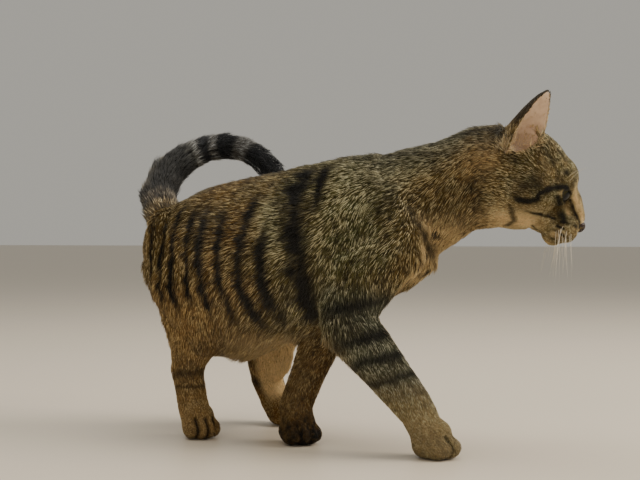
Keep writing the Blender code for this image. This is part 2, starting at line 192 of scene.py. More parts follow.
# Middle lines of the body in millimetres, each from the head towards the tail or the toes, which is
# the way the hair lies, with the half width of the body round each point
lines = {
    "head": [(222, 49, 196, 14), (206, 31, 214, 26), (180, 18, 228, 32)],
    "neck": [(166, 11, 231, 34), (148, 4, 227, 36), (126, -5, 218, 38), (100, -13, 206, 44),
             (78, -20, 194, 50)],
    "trunk": [(96, -16, 190, 48), (48, -25, 176, 62), (-26, -28, 166, 72), (-106, -22, 160, 70),
              (-141, -16, 168, 52), (-172, -5, 184, 24)],
    "tail": [(-172, -4, 184, 20), (-186, 4, 199, 20), (-200, 16, 217, 20), (-204, 35, 240, 19),
             (-195, 52, 256, 17), (-180, 64, 266, 15), (-161, 72, 270, 14), (-141, 77, 267, 13),
             (-123, 80, 258, 13), (-108, 81, 244, 12), (-98, 79, 225, 11), (-93, 76, 208, 8)],
    "frontRight": [(60, -60, 190, 30), (58, -68, 140, 30), (80, -68, 90, 20), (111, -59, 36, 13),
                   (130, -55, 13, 14), (148, -51, 8, 12)],
    "frontLeft": [(60, 10, 190, 30), (34, 4, 140, 28), (6, -20, 90, 19), (-8, -43, 36, 13), (0, -51, 13, 14),
                  (17, -59, 8, 12)],
    "hindRight": [(-128, -46, 180, 40), (-96, -58, 118, 40), (-118, -51, 62, 17), (-105, -58, 22, 14),
                  (-88, -69, 8, 13)],
    "hindLeft": [(-116, 12, 180, 40), (-76, 12, 110, 38), (-84, 26, 68, 26), (-87, 34, 44, 17),
                 (-79, 38, 20, 14), (-59, 36, 8, 13)],
}
skullMiddle = (-18, 0, -10)
lineNames = list(lines)
legNames = lineNames[4:]


def along(points, line):
    # the nearest place on a line of straight lengths: how far off, how far along, which way the line
    # runs there, how wide the body is there and where that place is
    line = np.array(line, dtype=float) * mm
    place, wide = line[:, :3], line[:, 3]
    legs = np.diff(place, axis=0)
    long = np.linalg.norm(legs, axis=1)
    heading = unit(legs)
    heading = unit(np.vstack([heading[:1], heading[:-1] + heading[1:], heading[-1:]]))
    before = np.concatenate([[0], np.cumsum(long)])
    off = np.full(len(points), np.inf)
    reach, width = np.zeros(len(points)), np.zeros(len(points))
    way, near = np.zeros((len(points), 3)), np.zeros((len(points), 3))
    for i in range(len(legs)):
        t = np.clip((points - place[i]) @ legs[i] / long[i] ** 2, 0, 1)
        at = place[i] + t[:, None] * legs[i]
        gap = np.linalg.norm(points - at, axis=1)
        closer = gap < off
        off[closer] = gap[closer]
        reach[closer] = (before[i] + t * long[i])[closer]
        width[closer] = blend(wide[i], wide[i + 1], t)[closer]
        way[closer] = blend(heading[i], heading[i + 1], t[:, None])[closer]
        near[closer] = at[closer]
    return {"off": off, "reach": reach, "width": width, "way": unit(way), "near": near}


def survey(points):
    # how strongly each line holds each point: its body's half width over the distance, to the fifth power,
    # and the skull's own ball round the middle of the head besides; the shares of a point add up to 1
    found = {name: along(points, line) for name, line in lines.items()}
    share = np.stack([(found[n]["width"] / (found[n]["off"] + 2 * mm)) ** 5 for n in lineNames], axis=1)
    h = toHead(points)
    fromSkull = np.linalg.norm(h - skullMiddle, axis=1)
    share[:, 0] = share[:, 0] * smooth(80, 60, fromSkull) + 12 * smooth(64, 48, fromSkull) ** 3
    share /= share.sum(axis=1, keepdims=True)
    return found, dict(zip(lineNames, share.T))


def strokeGap(places, path):  # the shortest distance to a path of straight lengths
    path = np.array(path, dtype=float)
    gap = np.full(len(places), np.inf)
    for a, b in zip(path[:-1], path[1:]):
        t = np.clip((places - a) @ (b - a) / max((b - a) @ (b - a), 1e-9), 0, 1)
        gap = np.minimum(gap, np.linalg.norm(places - a - t[:, None] * (b - a), axis=1))
    return gap


def turned(axes, angle, a, b):  # axes with the a one turned towards the b one
    c, s = math.cos(angle), math.sin(angle)
    new = axes.copy()
    new[a] = axes[a] * c + axes[b] * s
    new[b] = axes[b] * c - axes[a] * s
    return new


earSize = {
    "base": (-49.0, 20.0, -4.0),
    "length": 60.0,
    "radius": 17.5,
    "curl": (112.0, 34.0),
    "lean": (-14, -9, 42),  # outwards, backwards and turned out, in degrees
    # middle and radii of the hollow that goes down into the skull
    "bowl": ((0.0, 4.0, 28.0), (13.0, 13.0, 23.0)),
}


def earAxes(out):  # the way the hollow faces, across the ear, and up to its tip
    outwards, backwards, turn = np.radians(earSize["lean"])
    lean = turned(turned(headAxes, outwards * out, 1, 2), backwards, 2, 0)
    return turned(lean, turn * out, 0, 1)


def inEar(points, out):  # millimetres from the middle of an ear's base, along that ear's own axes
    base = inHead(np.array(earSize["base"]) * (1, out, 1))
    return (points - base) @ earAxes(out).T / mm


skinShape = {
    "swell": 0.8 * mm,  # closes the cuts between the nodes
    "voxel": 1.3 * mm,
    "rounds": 5,
    "kept": 0.36,  # share of the triangles kept, all of them on head and feet
}


def weldedNode(name):  # a copy of a CAD node's mesh, its loose triangles joined, swollen a little
    mesh = nodes[name].data
    points = meshPoints(mesh)
    key = np.round(points / (0.005 * mm)).astype(np.int64)
    key, first, back = np.unique(key, axis=0, return_index=True, return_inverse=True)
    triangles = back.reshape(-1)[meshTriangles(mesh)]
    return points[first] + pointNormals(points[first], triangles) * skinShape["swell"], triangles


def hollowedHead():  # the head less the bowl of each ear, a ball stretched by the bowl's radii
    head = meshObject("skull", *weldedNode("head"))
    middle, radii = (np.array(v) for v in earSize["bowl"])
    for out in (-1, 1):
        work = bmesh.new()
        bmesh.ops.create_icosphere(work, subdivisions=3, radius=1)
        ball = np.array([v.co for v in work.verts]) * radii + middle * (1, out, 1)
        place = inHead(np.array(earSize["base"]) * (1, out, 1)) + ball * mm @ earAxes(out)
        for vert, spot in zip(work.verts, place.tolist()):
            vert.co = spot
        bmesh.ops.recalc_face_normals(work, faces=work.faces)
        mesh = bpy.data.meshes.new("bowl")
        work.to_mesh(mesh)
        work.free()
        bowl = linked("bowl", mesh)
        cut = head.modifiers.new("cut", "BOOLEAN")
        cut.operation, cut.object = "DIFFERENCE", bowl
        head = applied(head, "skull")
        bpy.data.objects.remove(bowl)
    points, triangles = meshPoints(head.data), meshTriangles(head.data)
    bpy.data.objects.remove(head)
    return points, triangles


def joinedFlesh():  # every node's points in one list, each node's triangles counted on from the last
    points, triangles, start = [], [], 0
    for name in nodes:
        p, t = hollowedHead() if name == "head" else weldedNode(name)
        points.append(p)
        triangles.append(t + start)
        start += len(p)
    return meshObject("flesh", np.concatenate(points), np.concatenate(triangles))


def fineArea(points):  # head and feet keep small faces
    h = toHead(points)
    return ((np.abs(h[:, 1]) < 45) & (h[:, 0] > -66) & (h[:, 2] > -50)) | (points[:, 2] < 32 * mm)


def rawSkin():
    # all the nodes swollen and melted into one surface of small cells, smoothed by turns in and out so
    # that it keeps its size, then made coarser on the body
    flesh = joinedFlesh()
    remesh = flesh.modifiers.new("voxels", "REMESH")
    remesh.mode = "VOXEL"
    remesh.voxel_size = skinShape["voxel"]
    melted = applied(flesh, "melted")
    points, edges = meshPoints(melted.data), meshEdges(melted.data)
    for amount in (0.5, -0.52) * skinShape["rounds"]:
        points = relaxed(points, edges, amount, 1)
    melted.data.vertices.foreach_set("co", points.astype(np.float32).ravel())
    group = melted.vertex_groups.new(name="fine")
    fine = fineArea(points)
    group.add(np.nonzero(fine)[0].tolist(), 1.0, "REPLACE")
    group.add(np.nonzero(~fine)[0].tolist(), 0.0, "REPLACE")
    coarser = melted.modifiers.new("coarser", "DECIMATE")
    coarser.ratio = skinShape["kept"]
    coarser.vertex_group = "fine"
    coarser.invert_vertex_group = True
    return applied(melted, "melted")


def splitFace(obj):  # halves the edges round eyes, nose and mouth, where the lids and nostrils are cut
    work = bmesh.new()
    work.from_mesh(obj.data)
    bmesh.ops.triangulate(work, faces=work.faces)
    points = np.array([v.co for v in work.verts])
    h = toHead(points)
    near = (h[:, 0] > -20) & (h[:, 2] < 14) & (np.abs(h[:, 1]) < 31) & (h[:, 2] > -50)
    work.verts.ensure_lookup_table()
    cut = [e for e in work.edges if near[e.verts[0].index] and near[e.verts[1].index]]
    bmesh.ops.subdivide_edges(work, edges=cut, cuts=1, use_grid_fill=True)
    bmesh.ops.triangulate(work, faces=work.faces)
    work.to_mesh(obj.data)
    work.free()


coat = {
    "tufts": 236000,
    "sunk": 0.5 * mm,  # how far a root lies under the skin
    "stray": 0.03,  # share of the tufts that stand up more than the rest
    "fringe": 7 * mm,  # how much longer the hair is on the rims of the ears
    "footTop": 30 * mm,
    "shoulderEnd": -30 * mm,  # the trunk's pieces part here
    "bareNose": ((30, 0, -19), (7.5, 8, 7)),  # middle and radii of the place without tufts
    "sole": 1.2 * mm,  # no roots below this
    "lowest": 0.4 * mm,  # no tips below this
}
# For each part: how deep the coat is, how long a tuft, how wide, and how many on a square millimetre
coatParts = {
    "neck": (4.8, 9.5, 0.66, 1.0),
    "trunk": (5.0, 10.5, 0.7, 0.95),
    "belly": (8.0, 19.0, 0.72, 1.1),
    "tail": (7.5, 13.0, 0.7, 1.3),
    "upperLeg": (4.2, 9.0, 0.68, 1.0),
    "lowerLeg": (2.0, 5.5, 0.52, 1.4),
    "foot": (0.8, 2.6, 0.42, 2.4),
    "cheek": (2.6, 6.0, 0.46, 1.9),
    "face": (0.5, 2.6, 0.4, 3.2),
    "ear": (-0.2, 3.2, 0.42, 2.0),
}


def coatOver(points, normals, found, share):
    # depth, length, width and count: the parts of the coat mixed by how much each line holds a point,
    # the legs' by height, the head's by how far forward, the belly's by how far the skin faces down
    h = toHead(points)
    z = points[:, 2] / mm
    low = smooth(0.1, -0.6, normals[:, 2]) * smooth(150, 110, z)
    part = {name: np.array(sizes) for name, sizes in coatParts.items()}
    ahead = smooth(-42, -8, h[:, 0])[:, None]
    leg = blend(part["lowerLeg"], part["upperLeg"], smooth(70, 125, z)[:, None])
    leg = blend(part["foot"], leg, smooth(20, 48, z)[:, None])
    each = {
        "neck": part["neck"],
        "trunk": blend(part["trunk"], part["belly"], low[:, None]),
        "tail": part["tail"] * blend(1, 0.72, smooth(110, 200, found["tail"]["reach"] / mm))[:, None],
        "head": blend(part["cheek"], part["face"], ahead),
    }
    total = sum(each.get(name, leg) * share[name][:, None] for name in lineNames)
    back, hollow = earParts(points, normals)[:2]
    total = blend(total, part["ear"], np.maximum(back, hollow)[:, None])
    return total[:, 0] * mm, total[:, 1] * mm, total[:, 2] * mm, total[:, 3]


def earParts(points, normals):
    # the back and the hollow of the ears, and how far up: a leaf rolled into a cone whose radius shrinks
    # to the tip, told from the skull by which way the skin faces
    back, hollow, height = (np.zeros(len(points)) for part in range(3))
    for out in (-1, 1):
        e = inEar(points, out)
        up = np.clip(e[:, 2] / earSize["length"], 0, 1)
        radius = earSize["radius"] * (1 - up ** 1.9) ** 0.8 + 1.5
        angle = np.arctan2(e[:, 1], -e[:, 0] / 0.9)
        off = np.hypot(e[:, 0] / 0.9, e[:, 1]) - radius
        curl = np.radians(earSize["curl"][0] - earSize["curl"][1] * up)
        outwards = normals @ earAxes(out)[1] * np.sin(angle) - normals @ earAxes(out)[0] * np.cos(angle)
        on = smooth(4.5, 3.0, np.abs(off)) * smooth(curl + 0.5, curl + 0.2, np.abs(angle))
        on *= smooth(0, 6, e[:, 2])
        on *= e[:, 2] < earSize["length"] + 4
        hollow = np.maximum(hollow, on * smooth(-0.1, -0.35, outwards))
        middle, radii = (np.array(v) for v in earSize["bowl"])
        inBowl = (e - middle * (1, out, 1)) / radii
        deep = -dot(normals @ earAxes(out).T, unit(inBowl / radii))
        shell = smooth(0.3, 0.14, np.abs(np.linalg.norm(inBowl, axis=1) - 1)) * smooth(0.2, 0.6, deep)
        hollow = np.maximum(hollow, shell)
        facing = smooth(0.0, 0.3, outwards + 0.9 * smooth(0.5, 0.8, up))
        back = np.maximum(back, on * facing * smooth(12, 24, e[:, 2]))
        height = np.where((on > 0) | (shell > 0), up, height)
    return back * (1 - hollow), hollow, height


eyeShape = {
    "radius": 10.5,  # of the eyeball, in millimetres as the next four are
    "lid": 1.3,  # thickness of the lids
    "behind": 2.2,  # how far under the eyeball's surface the skin drops inside the opening
    "reach": 17,  # how far round the eyeball's middle the skin is moved
    "opening": (7.4, 5.0),  # half width and half height
    "outwards": math.radians(30),
    "slant": math.radians(10),
}
eyeCentres = {out: middleOf("eye_left" if out > 0 else "eye_right") for out in (-1, 1)}


def eyeAxes(out):  # across the opening, up it, and the gaze
    axes = turned(headAxes, eyeShape["outwards"] * out, 0, 1)
    axes = turned(axes, eyeShape["slant"] * out, 1, 2)
    return np.stack([axes[1] * out, axes[2], axes[0]])


def inEye(points, out):  # millimetres from the middle of an eyeball, along that eye's own axes
    return (points - eyeCentres[out]) @ eyeAxes(out).T / mm


def openingOf(e):
    # 1 on the edge of the lids: an ellipse with a point towards the nose, cut flatter above
    wide, high = eyeShape["opening"]
    inner = smooth(2, -8, e[:, 0])
    x = e[:, 0] / (wide + 1.6 * inner)
    y = (e[:, 1] - 0.7 + 1.4 * inner) / (high * np.where(e[:, 1] > 0, 0.82, 1.0) * (1 - 0.35 * inner))
    return np.hypot(x, y)


def lidEdge(points):  # the nearer eye's opening measure, and far off for places that are not before an eye
    before = [inEye(points, out) for out in (-1, 1)]
    return np.min([np.where(e[:, 2] > 3, openingOf(e), 99.0) for e in before], axis=0)


def sculptEyes(points):
    # inside the opening the skin drops behind the eyeball; round it the lids lie on the ball with a rim,
    # each point moved along its own line from the eyeball's middle
    for out in (-1, 1):
        e = inEye(points, out)
        r = np.linalg.norm(e, axis=1)
        edge = openingOf(e)
        near = (r < eyeShape["reach"]) & (e[:, 2] > 1)
        snap = near & (np.abs(edge - 1) < 0.09)
        e[snap, :2] /= edge[snap, None]
        edge = np.where(snap, 1.0, edge)
        inside = near & (edge < 0.99)
        lid = eyeShape["radius"] + eyeShape["lid"]
        e[inside] *= ((eyeShape["radius"] - eyeShape["behind"]) / r[inside])[:, None]
        onRim = near & (edge >= 0.99) & (edge < 1.5)
        target = blend(np.full(len(r), lid), np.maximum(r, lid), smooth(1.08, 1.5, edge))
        e[onRim] *= (target[onRim] / np.linalg.norm(e[onRim], axis=1))[:, None]
        moved = inside | onRim
        points[moved] = eyeCentres[out] + e[moved] * mm @ eyeAxes(out)
    return points


carving = {
    "mouth": [(29, 0, -25), (25, 1.5, -31), (21, 5, -36.5), (12, 10, -41), (1, 14, -41.5)],
    # soft pushes in or out on both sides of the head: place, radius and height in millimetres
    "forms": [
        ((1, 15, 3), 7, 0.7), ((-6, 26, -4), 6, 0.5), ((9, 9, -8), 5, -0.9), ((12, 12, -19), 6, -0.6),
        ((17, 9, -28), 8, 0.6), ((-14, 27, -22), 9, 0.6), ((3, 16, 3.5), 4.5, 0.8),
    ],
    # each paw: the middle of its toes, how far it turns from straight ahead, and its half width
    "paws": [((122.7, -57.0), 14, 18.5), ((-6.7, -47.5), -26, 18.5), ((-99.4, -62.2), -32, 17.0),
             ((-72.6, 38.2), -8, 17.0)],
    "toeGaps": (-0.465, 0, 0.465),  # where the gaps between the toes are, as shares of that half width
    # the crease before each shoulder, seen from the middle of the breast
    "crease": [(98, 40, 222), (105, 37, 209), (109, 40, 199), (115, 42, 190), (116, 29, 175), (114, 15, 165),
               (113, 2, 158)],
    "depths": (1.1, 2.3, 3),  # of the mouth, the toe gaps and the crease
}
breastMiddle = -17  # the breast's own middle on the y axis, in millimetres


def toeGap(points):
    # millimetres sideways to the nearest of the three upright planes between a paw's toes, and more to where
    # they run out towards the wrist
    gap = np.full(len(points), 99.0)
    for middle, yaw, half in carving["paws"]:
        ahead = np.array([math.cos(math.radians(yaw)), math.sin(math.radians(yaw)), 0])
        across = np.array([-ahead[1], ahead[0], 0])
        local = points / mm - (*middle, 0)
        forward, aside = local @ ahead, local @ across
        sideways = np.min([np.abs(aside - share * half) for share in carving["toeGaps"]], axis=0)
        sideways += 4 * smooth(11, 3, forward) + 4 * smooth(17, 24, local[:, 2])
        near = (np.abs(aside) < half + 6) & (forward > 0) & (forward < 34) & (local[:, 2] < 27)
        gap = np.where(near, np.minimum(gap, sideways), gap)
    return gap


def creaseGap(points):  # millimetres to the crease before the shoulder on the point's own side
    return strokeGap(mirrored(points / mm - (0, breastMiddle, 0)), carving["crease"])


def carvedSkin(points, normals):
    # each point goes in or out along its normal: a groove along the mouth, round pushes on the face, and
    # grooves between the toes and along the crease, each a bell of the distance to its middle
    h = toHead(points)
    sided = mirrored(h)
    mouth, toes, crease = carving["depths"]
    push = -mouth * bell(strokeGap(sided, carving["mouth"]), 0.9)
    for place, radius, height in carving["forms"]:
        push += height * bell(np.linalg.norm(sided - place, axis=1), radius)
    push = push * smooth(-45, -30, h[:, 0]) - toes * bell(toeGap(points), 1.5)
    push = push - crease * bell(creaseGap(points), 4)
    return points + normals * (push * mm)[:, None]


def makeSkin():
    # the raw skin, sunk along its normals by the depth of the coat, relaxed at the crease and in the ears,
    # then carved and opened for the eyes
    obj = rawSkin()
    splitFace(obj)
    mesh = obj.data
    points, triangles, edges = meshPoints(mesh), meshTriangles(mesh), meshEdges(mesh)
    face = smooth(-16, -8, toHead(points)[:, 0])[:, None]
    points = relaxed(points, edges, 0.5 * face, 3)
    normals = pointNormals(points, triangles)
    found, share = survey(points)
    depth = coatOver(points, normals, found, share)[0] + skinShape["swell"]
    depth = relaxed(depth[:, None], edges, 0.5, 8)
    points = relaxed(points - normals * depth, edges, 0.3, 2)
    points = relaxed(points, edges, 0.5 * bell(creaseGap(points), 13)[:, None], 30)
    inside = smooth(0.2, 0.8, earParts(points, pointNormals(points, triangles))[1])
    points = relaxed(points, edges, 0.5 * inside[:, None], 14)
    points = carvedSkin(points, pointNormals(points, triangles))
    points = sculptEyes(points)
    bpy.data.objects.remove(obj)
    return points, triangles, edges


skinPoints, skinTriangles, skinEdges = makeSkin()
skinNormals = pointNormals(skinPoints, skinTriangles)
skinFound, skinShare = survey(skinPoints)
print("skin:", len(skinTriangles), "triangles")


pattern = {
    # flank stripes: where each crosses the middle of the flank, how far it leans at its top and at its
    # foot, its half width, its top and its foot, in millimetres
    "flank": [
        (-140, -2, 2, 2.5, 196, 130), (-126, -1, 4, 2.8, 190, 118), (-113, 1, 11, 3.4, 208, 110),
        (-96, 4, 6, 3.0, 204, 118), (-79, 2, 9, 4.2, 200, 108), (-59, 0, 8, 4.2, 200, 104),
        # the wide stripe crossing at 16, behind the shoulder, is partly painted shade where the shoulder
        # meets the ribs
        (-40, 11, 14, 4.6, 212, 100), (-17, 5, 8, 4.6, 186, 104), (16, -8, -1, 9.5, 240, 98),
        (31, -3, 0, 5.0, 240, 198),
    ],
    # dark bars round each leg: height, half width and strength; then how much a bar climbs to the front
    "legs": {
        "frontRight": ([(157, 6, 0.75), (141, 5, 0.75), (121, 5.4, 1), (95, 5, 0.95), (78, 3.6, 0.9),
                        (62, 4.2, 0.85), (49, 2.4, 0.35), (39, 2.0, 0.3)], 0.32),
        "frontLeft": ([(118, 5, 0.5), (94, 7, 0.75), (76, 3, 0.5), (66, 2.4, 0.55), (56, 2.2, 0.5),
                       (47, 2.4, 0.45)], 0.1),
        "hindRight": ([(92, 4, 0.1), (76, 4, 0.15), (55, 4.5, 0.7), (43, 1.5, 0.7)], 0.1),
        "hindLeft": ([(92, 4, 0.3), (76, 4, 0.35), (60, 3, 0.4), (40, 6, 0.75)], 0.1),
    },
    # painted shade: how much darker each leg is, then its foot, most on the left foreleg and its paw,
    # which lie in shadow
    "legPaintedShade": {"frontLeft": (0.4, 0.85), "frontRight": (0.14, 0.35), "hindRight": (0, 0.1),
                 "hindLeft": (0.1, 0.1)},
    # how pale the inner side of each leg is, little on the left foreleg, whose pale side is in painted
    # shade, how pale the shank is all round, and how warm the leg: the right foreleg's cool olive is partly
    # painted skylight and the other legs' ochre is partly painted warm light from the floor
    "legPale": {"frontLeft": 0.15, "frontRight": 0.85, "hindRight": 0.85, "hindLeft": 1.15},
    "shankPale": {"frontLeft": 0, "frontRight": 0.4, "hindRight": 0.16, "hindLeft": 0},
    "legWarmthAndPaintedLight": {"frontLeft": 0.92, "frontRight": 0.05, "hindRight": 0.92, "hindLeft": 0.92},
    # dark lines of the head on both sides: forwards, left and up from the brow, half width and strength
    "faceDark": [
        ([(-1, 25, 0), (-6, 27, -3), (-11, 29, -7), (-15, 34, -13), (-18, 35, -18), (-17, 35, -24),
          (-22, 34, -29), (-30, 32, -32)], 2.8, 1.15),
        ([(-24, 30, -39), (-15, 28, -35), (-8, 26, -31), (-1, 19, -28), (5, 15, -26)], 1.6, 1.0),
        ([(-3, 27, -12), (3, 18, -15), (8, 12.5, -19), (12, 14.5, -23)], 3.3, 0.95),
        ([(6.5, 11, -5.5), (12, 9, -9), (17, 9, -12.5), (24, 7.5, -16.5), (27, 6, -20)], 1.4, 1.1),
        ([(29, 0, -25), (25, 1.5, -31), (21, 5, -36.5), (12, 10, -41), (1, 14, -42), (-6, 16, -41)],
         1.3, 0.8),
        ([(-31, 27, -39), (-21, 18, -47), (-23, 11, -53)], 2.4, 0.7),
        ([(-9, 22, 9), (-9, 21.5, 9.5)], 2.4, 0.9), ([(-14, 13, 18), (-15, 13, 18.5)], 2.0, 0.8),
        ([(-2, 5, 7), (-12, 6, 17), (-30, 7, 26), (-50, 8, 28)], 1.5, 0.7),
        ([(-4, 14, 8), (-16, 17, 18), (-32, 18, 25)], 1.4, 0.6),
        ([(-20, 26, 8), (-32, 27, 14), (-42, 27, 14)], 1.6, 0.5),
        ([(-25, 36, -12), (-32, 37, -20)], 8.5, 0.7), ([(-48, 31, -8), (-54, 30, -4)], 4.0, 0.7),
        ([(11, 16, -25), (16, 15.5, -24), (24, 11, -21)], 1.7, 1.0),
        ([(10, 17, -30), (16, 16.5, -29), (24, 12.5, -27)], 1.2, 0.95),
        ([(9, 17.5, -34.5), (16, 16.5, -34), (24, 12, -32)], 1.2, 0.85),
    ],
    "facePale": [
        ([(3, 14.5, -8), (8.5, 10, -11.5), (12.5, 10.5, -16)], 2.2, 0.95),
        ([(-4, 27, -5), (-3, 27, -8)], 2.5, 0.5),
        ([(2, 10, 3), (9, 9, -1), (16, 7, -6), (24, 5, -12)], 5.0, 1.0),
        ([(24, 8, -26), (18, 12, -30), (12, 12, -35)], 5.5, 0.7), ([(14, 4, -46), (6, 8, -46)], 5, 0.6),
        ([(-14, 20, -44), (-34, 14, -52), (-52, 6, -62)], 15, 1.05), ([(10, 0, -46), (-6, 4, -46)], 5, 0.5),
        ([(-22, 31, 2), (-30, 30, 6)], 5, 0.25),
    ],
    # where the coat is silver-grey, from the shoulder to the nape, partly a painted highlight on top, and on
    # the flank, where the patch is a painted sheen
    "greyBackAndHighlight": [(55, -45, 225), (95, -30, 240), (125, -5, 262)],
    "greyFlankSheen": [(-14, -84, 202), (-8, -92, 178)],
    "orange": ((153, 30, 243), 18),  # the warm patch behind each ear: its middle and half width
    "earRoot": ((-72, 14, 8), 11),  # the dark spot at the back of each ear's root, the same way
    "tailRings": [(128, 6), (152, 9), (230, 52)],  # how far along each dark ring is, and half its width
    "tailInside": np.array([0.55, -0.55, -0.2]),  # the side of the tail that lies within its arch
}


def markings(points, normals, found, share, ears):
    # how dark with stripes and painted shade, how warm, how pale and how blue-grey the coat is at each
    # point, some of the warmth and blue-grey being painted light: every mark is a bell or an S curve of the
    # distance to its middle, its edge pushed about by noise, and the darkest mark at a point counts; legs,
    # tail and head lay theirs over the trunk's as far as they hold the point
    h = toHead(points)
    sided = mirrored(h)
    x, y, z = points.T / mm
    fromMiddle = np.abs(y - breastMiddle)
    ragged = noise(points, 7 * mm, 3)
    fine = noise(points, 2.6 * mm, 4)
    spine = along(points, lines["trunk"])
    aside = np.abs(points[:, 1] - spine["near"][:, 1]) / mm
    torso = share["trunk"] + share["neck"] + smooth(75, 105, z) * sum(share[n] for n in legNames)
    torso = np.clip(torso, 0, 1)

    # trunk and neck: flank stripes, the dark back, the line in the crease, mottling and nape lines
    dark = np.zeros(len(points))
    for middle, top, foot, half, high, low in pattern["flank"]:
        line = middle + top * smooth(150, 215, z) + foot * smooth(150, 92, z) ** 1.3
        ends = smooth(low - 8, low + 12, z) * smooth(high + 8, high - 12, z)
        wide = half * (1.12 + 0.35 * ragged)
        stripe = bell(x - line + 2.5 * ragged + 1.2 * fine, wide)
        dark = np.maximum(dark, stripe * ends * (1.1 + 0.3 * ragged))
    dark *= torso * smooth(10, 30, aside)
    back = bell(aside, 26) * smooth(165, 200, z) * torso
    dark = np.maximum(dark, back * (0.5 + 0.35 * noise(points * (0.3, 2.2, 1), 8 * mm, 5)))
    shoulder = smooth(20, 45, x) * smooth(112, 92, x) * smooth(125, 160, z) * torso
    dark = np.maximum(dark, bell(creaseGap(points) + 1.5 * ragged, 5.0) * smooth(148, 160, z))
    mottle = 0.6 * smooth(-0.15, 0.4, noise(points * (1.2, 1.2, 0.7), 10 * mm, 12)) * share["neck"]
    dark = np.maximum(dark, mottle * smooth(232, 215, z) * smooth(-0.75, -0.3, normals[:, 2]))
    nape = share["neck"] * smooth(0.3, 0.8, normals[:, 2])
    across = (points[:, 1] - found["neck"]["near"][:, 1]) / mm
    dark = np.maximum(dark, nape * (0.25 + 0.7 * np.cos(across / 1.9 + ragged)) * 0.85)

    # breast: dark bars within its pale front
    front = smooth(0.15, 0.65, normals[:, 0]) * smooth(84, 100, x) * smooth(205, 180, z)
    front *= 1 - share["head"]
    front *= smooth(4, -4, fromMiddle + 2 * ragged - blend(44, 39, smooth(150, 178, z)))
    bars = np.sin(z / 2.6 + 2.5 * noise(points, 16 * mm, 6) + fromMiddle / 9)
    dark = np.maximum(dark, front * smooth(0.1, 0.7, bars) * 0.95 * smooth(-0.3, 0.3, ragged))

    # ground colour: warm behind, olive on the shoulder, an orange patch behind the ear, silver-grey along
    # the two grey lines, partly painted highlight and sheen, pale underneath
    warm = 0.62 + 0.2 * noise(points, 22 * mm, 7) - 0.3 * smooth(-50, 10, x) * smooth(60, 20, x)
    warm = blend(warm, 0.1 + 0.12 * ragged, shoulder)
    warm = blend(warm, 0.6 + 0.25 * ragged, share["neck"])
    warm = blend(warm, 0.42 + 0.25 * ragged, share["head"])
    beside = np.stack([x, np.abs(across), z], axis=1)
    middle, half = pattern["orange"]
    patch = bell(np.linalg.norm(beside - middle, axis=1), half)
    warm = blend(warm, 1.0, patch)
    dark *= 1 - 0.8 * patch
    # painted highlight on the shoulder and nape, painted sheen on the flank, over silver-grey hair
    grey = bell(strokeGap(points / mm, pattern["greyBackAndHighlight"]), 26)
    grey = grey + bell(strokeGap(points / mm, pattern["greyFlankSheen"]), 13)
    warm *= 1 - 0.7 * np.clip(grey, 0, 1)
    pale = smooth(0.0, -0.65, normals[:, 2]) * smooth(100, 84, z) * torso * 0.85
    pale = np.maximum(pale, 0.3 * patch)
    pale = np.maximum(pale, front * (0.75 + 0.2 * ragged))

    # legs: bars, painted shade that darkens the legs and their feet, a paler inner side
    for name in legNames:
        leg, held = found[name], share[name] * smooth(150, 125, z)
        bands, climb = pattern["legs"][name]
        level = z - climb * (x - leg["near"][:, 0] / mm) + 2.0 * ragged
        side = -1 if name.endswith("Right") else 1
        outer = unit(points - leg["near"])
        inner = -side * outer[:, 1] + (0.9 * outer[:, 0] + 0.5 * outer[:, 1] if name == "hindLeft" else 0)
        band = sum(strength * bell(level - height, half) for height, half, strength in bands)
        band *= 1 if name == "frontLeft" else smooth(0.95, 0.2, inner)
        above, below = pattern["legPaintedShade"][name]
        band = np.maximum(band, blend(below, above, smooth(12, 34, z)) * (1 + 0.5 * fine))
        band = np.clip(band, 0, 1) * held * smooth(150, 118, z)
        dark = np.maximum(dark * (1 - held * smooth(120, 100, z)), band)
        warmer = 0.25 * (name == "frontRight") * smooth(45, 20, z)
        # painted light in part: cool skylight on the right foreleg, warm floor light on the others
        warm = blend(warm, pattern["legWarmthAndPaintedLight"][name] + 0.14 * ragged + warmer, held)
        low = pattern["shankPale"][name] * (smooth(75, 35, z) if name == "frontRight" else 1)
        # painted shade: the left foreleg's pale inner side is left out because it lies in shadow
        inside = smooth(0.2, 0.85, inner) * smooth(18, 34, z) * pattern["legPale"][name]
        pale = np.maximum(pale * (1 - held * smooth(110, 80, z)), held * np.maximum(inside, low))
    # painted shade in the gaps between the toes, where the pale is taken away too
    toes = bell(toeGap(points), 1.6)
    dark = np.maximum(dark, 0.95 * toes)
    pale *= 1 - toes

    # tail: rings, narrow ones near its root, and a dark inner side where it rises
    reach = found["tail"]["reach"] / mm
    cool = share["tail"] * smooth(8, 40, reach) * blend(0.55, 0.9, smooth(90, 125, reach))
    # painted light in part: cool grey for skylight on the right foreleg, for top light on the nape
    cool += 0.35 * share["frontRight"] * smooth(150, 120, z) * smooth(35, 60, z) + 0.3 * nape
    inwards = unit(points - found["tail"]["near"]) @ pattern["tailInside"]
    ring = sum(smooth(half + 2.5, half - 1.5, np.abs(reach - at + 3 * inwards + 1.2 * ragged))
               for at, half in pattern["tailRings"])
    ink = smooth(-0.2, 0.35, inwards + 1.3 * smooth(82, 100, reach)) * smooth(30, 50, reach)
    ink *= smooth(112, 104, reach)
    narrow = 0.85 * smooth(-0.1, 0.7, np.cos(reach / 2.5 + 0.5 * ragged)) * smooth(122, 108, reach)
    ring = np.max([ring, 0.95 * ink, narrow], axis=0)
    dark = np.maximum(dark * (1 - share["tail"]), share["tail"] * np.clip(ring, 0, 1))
    warm *= 1 - 0.75 * share["tail"] * smooth(60, 110, reach)
    pale = pale * (1 - share["tail"]) + share["tail"] * 0.04 * smooth(60, 140, reach)

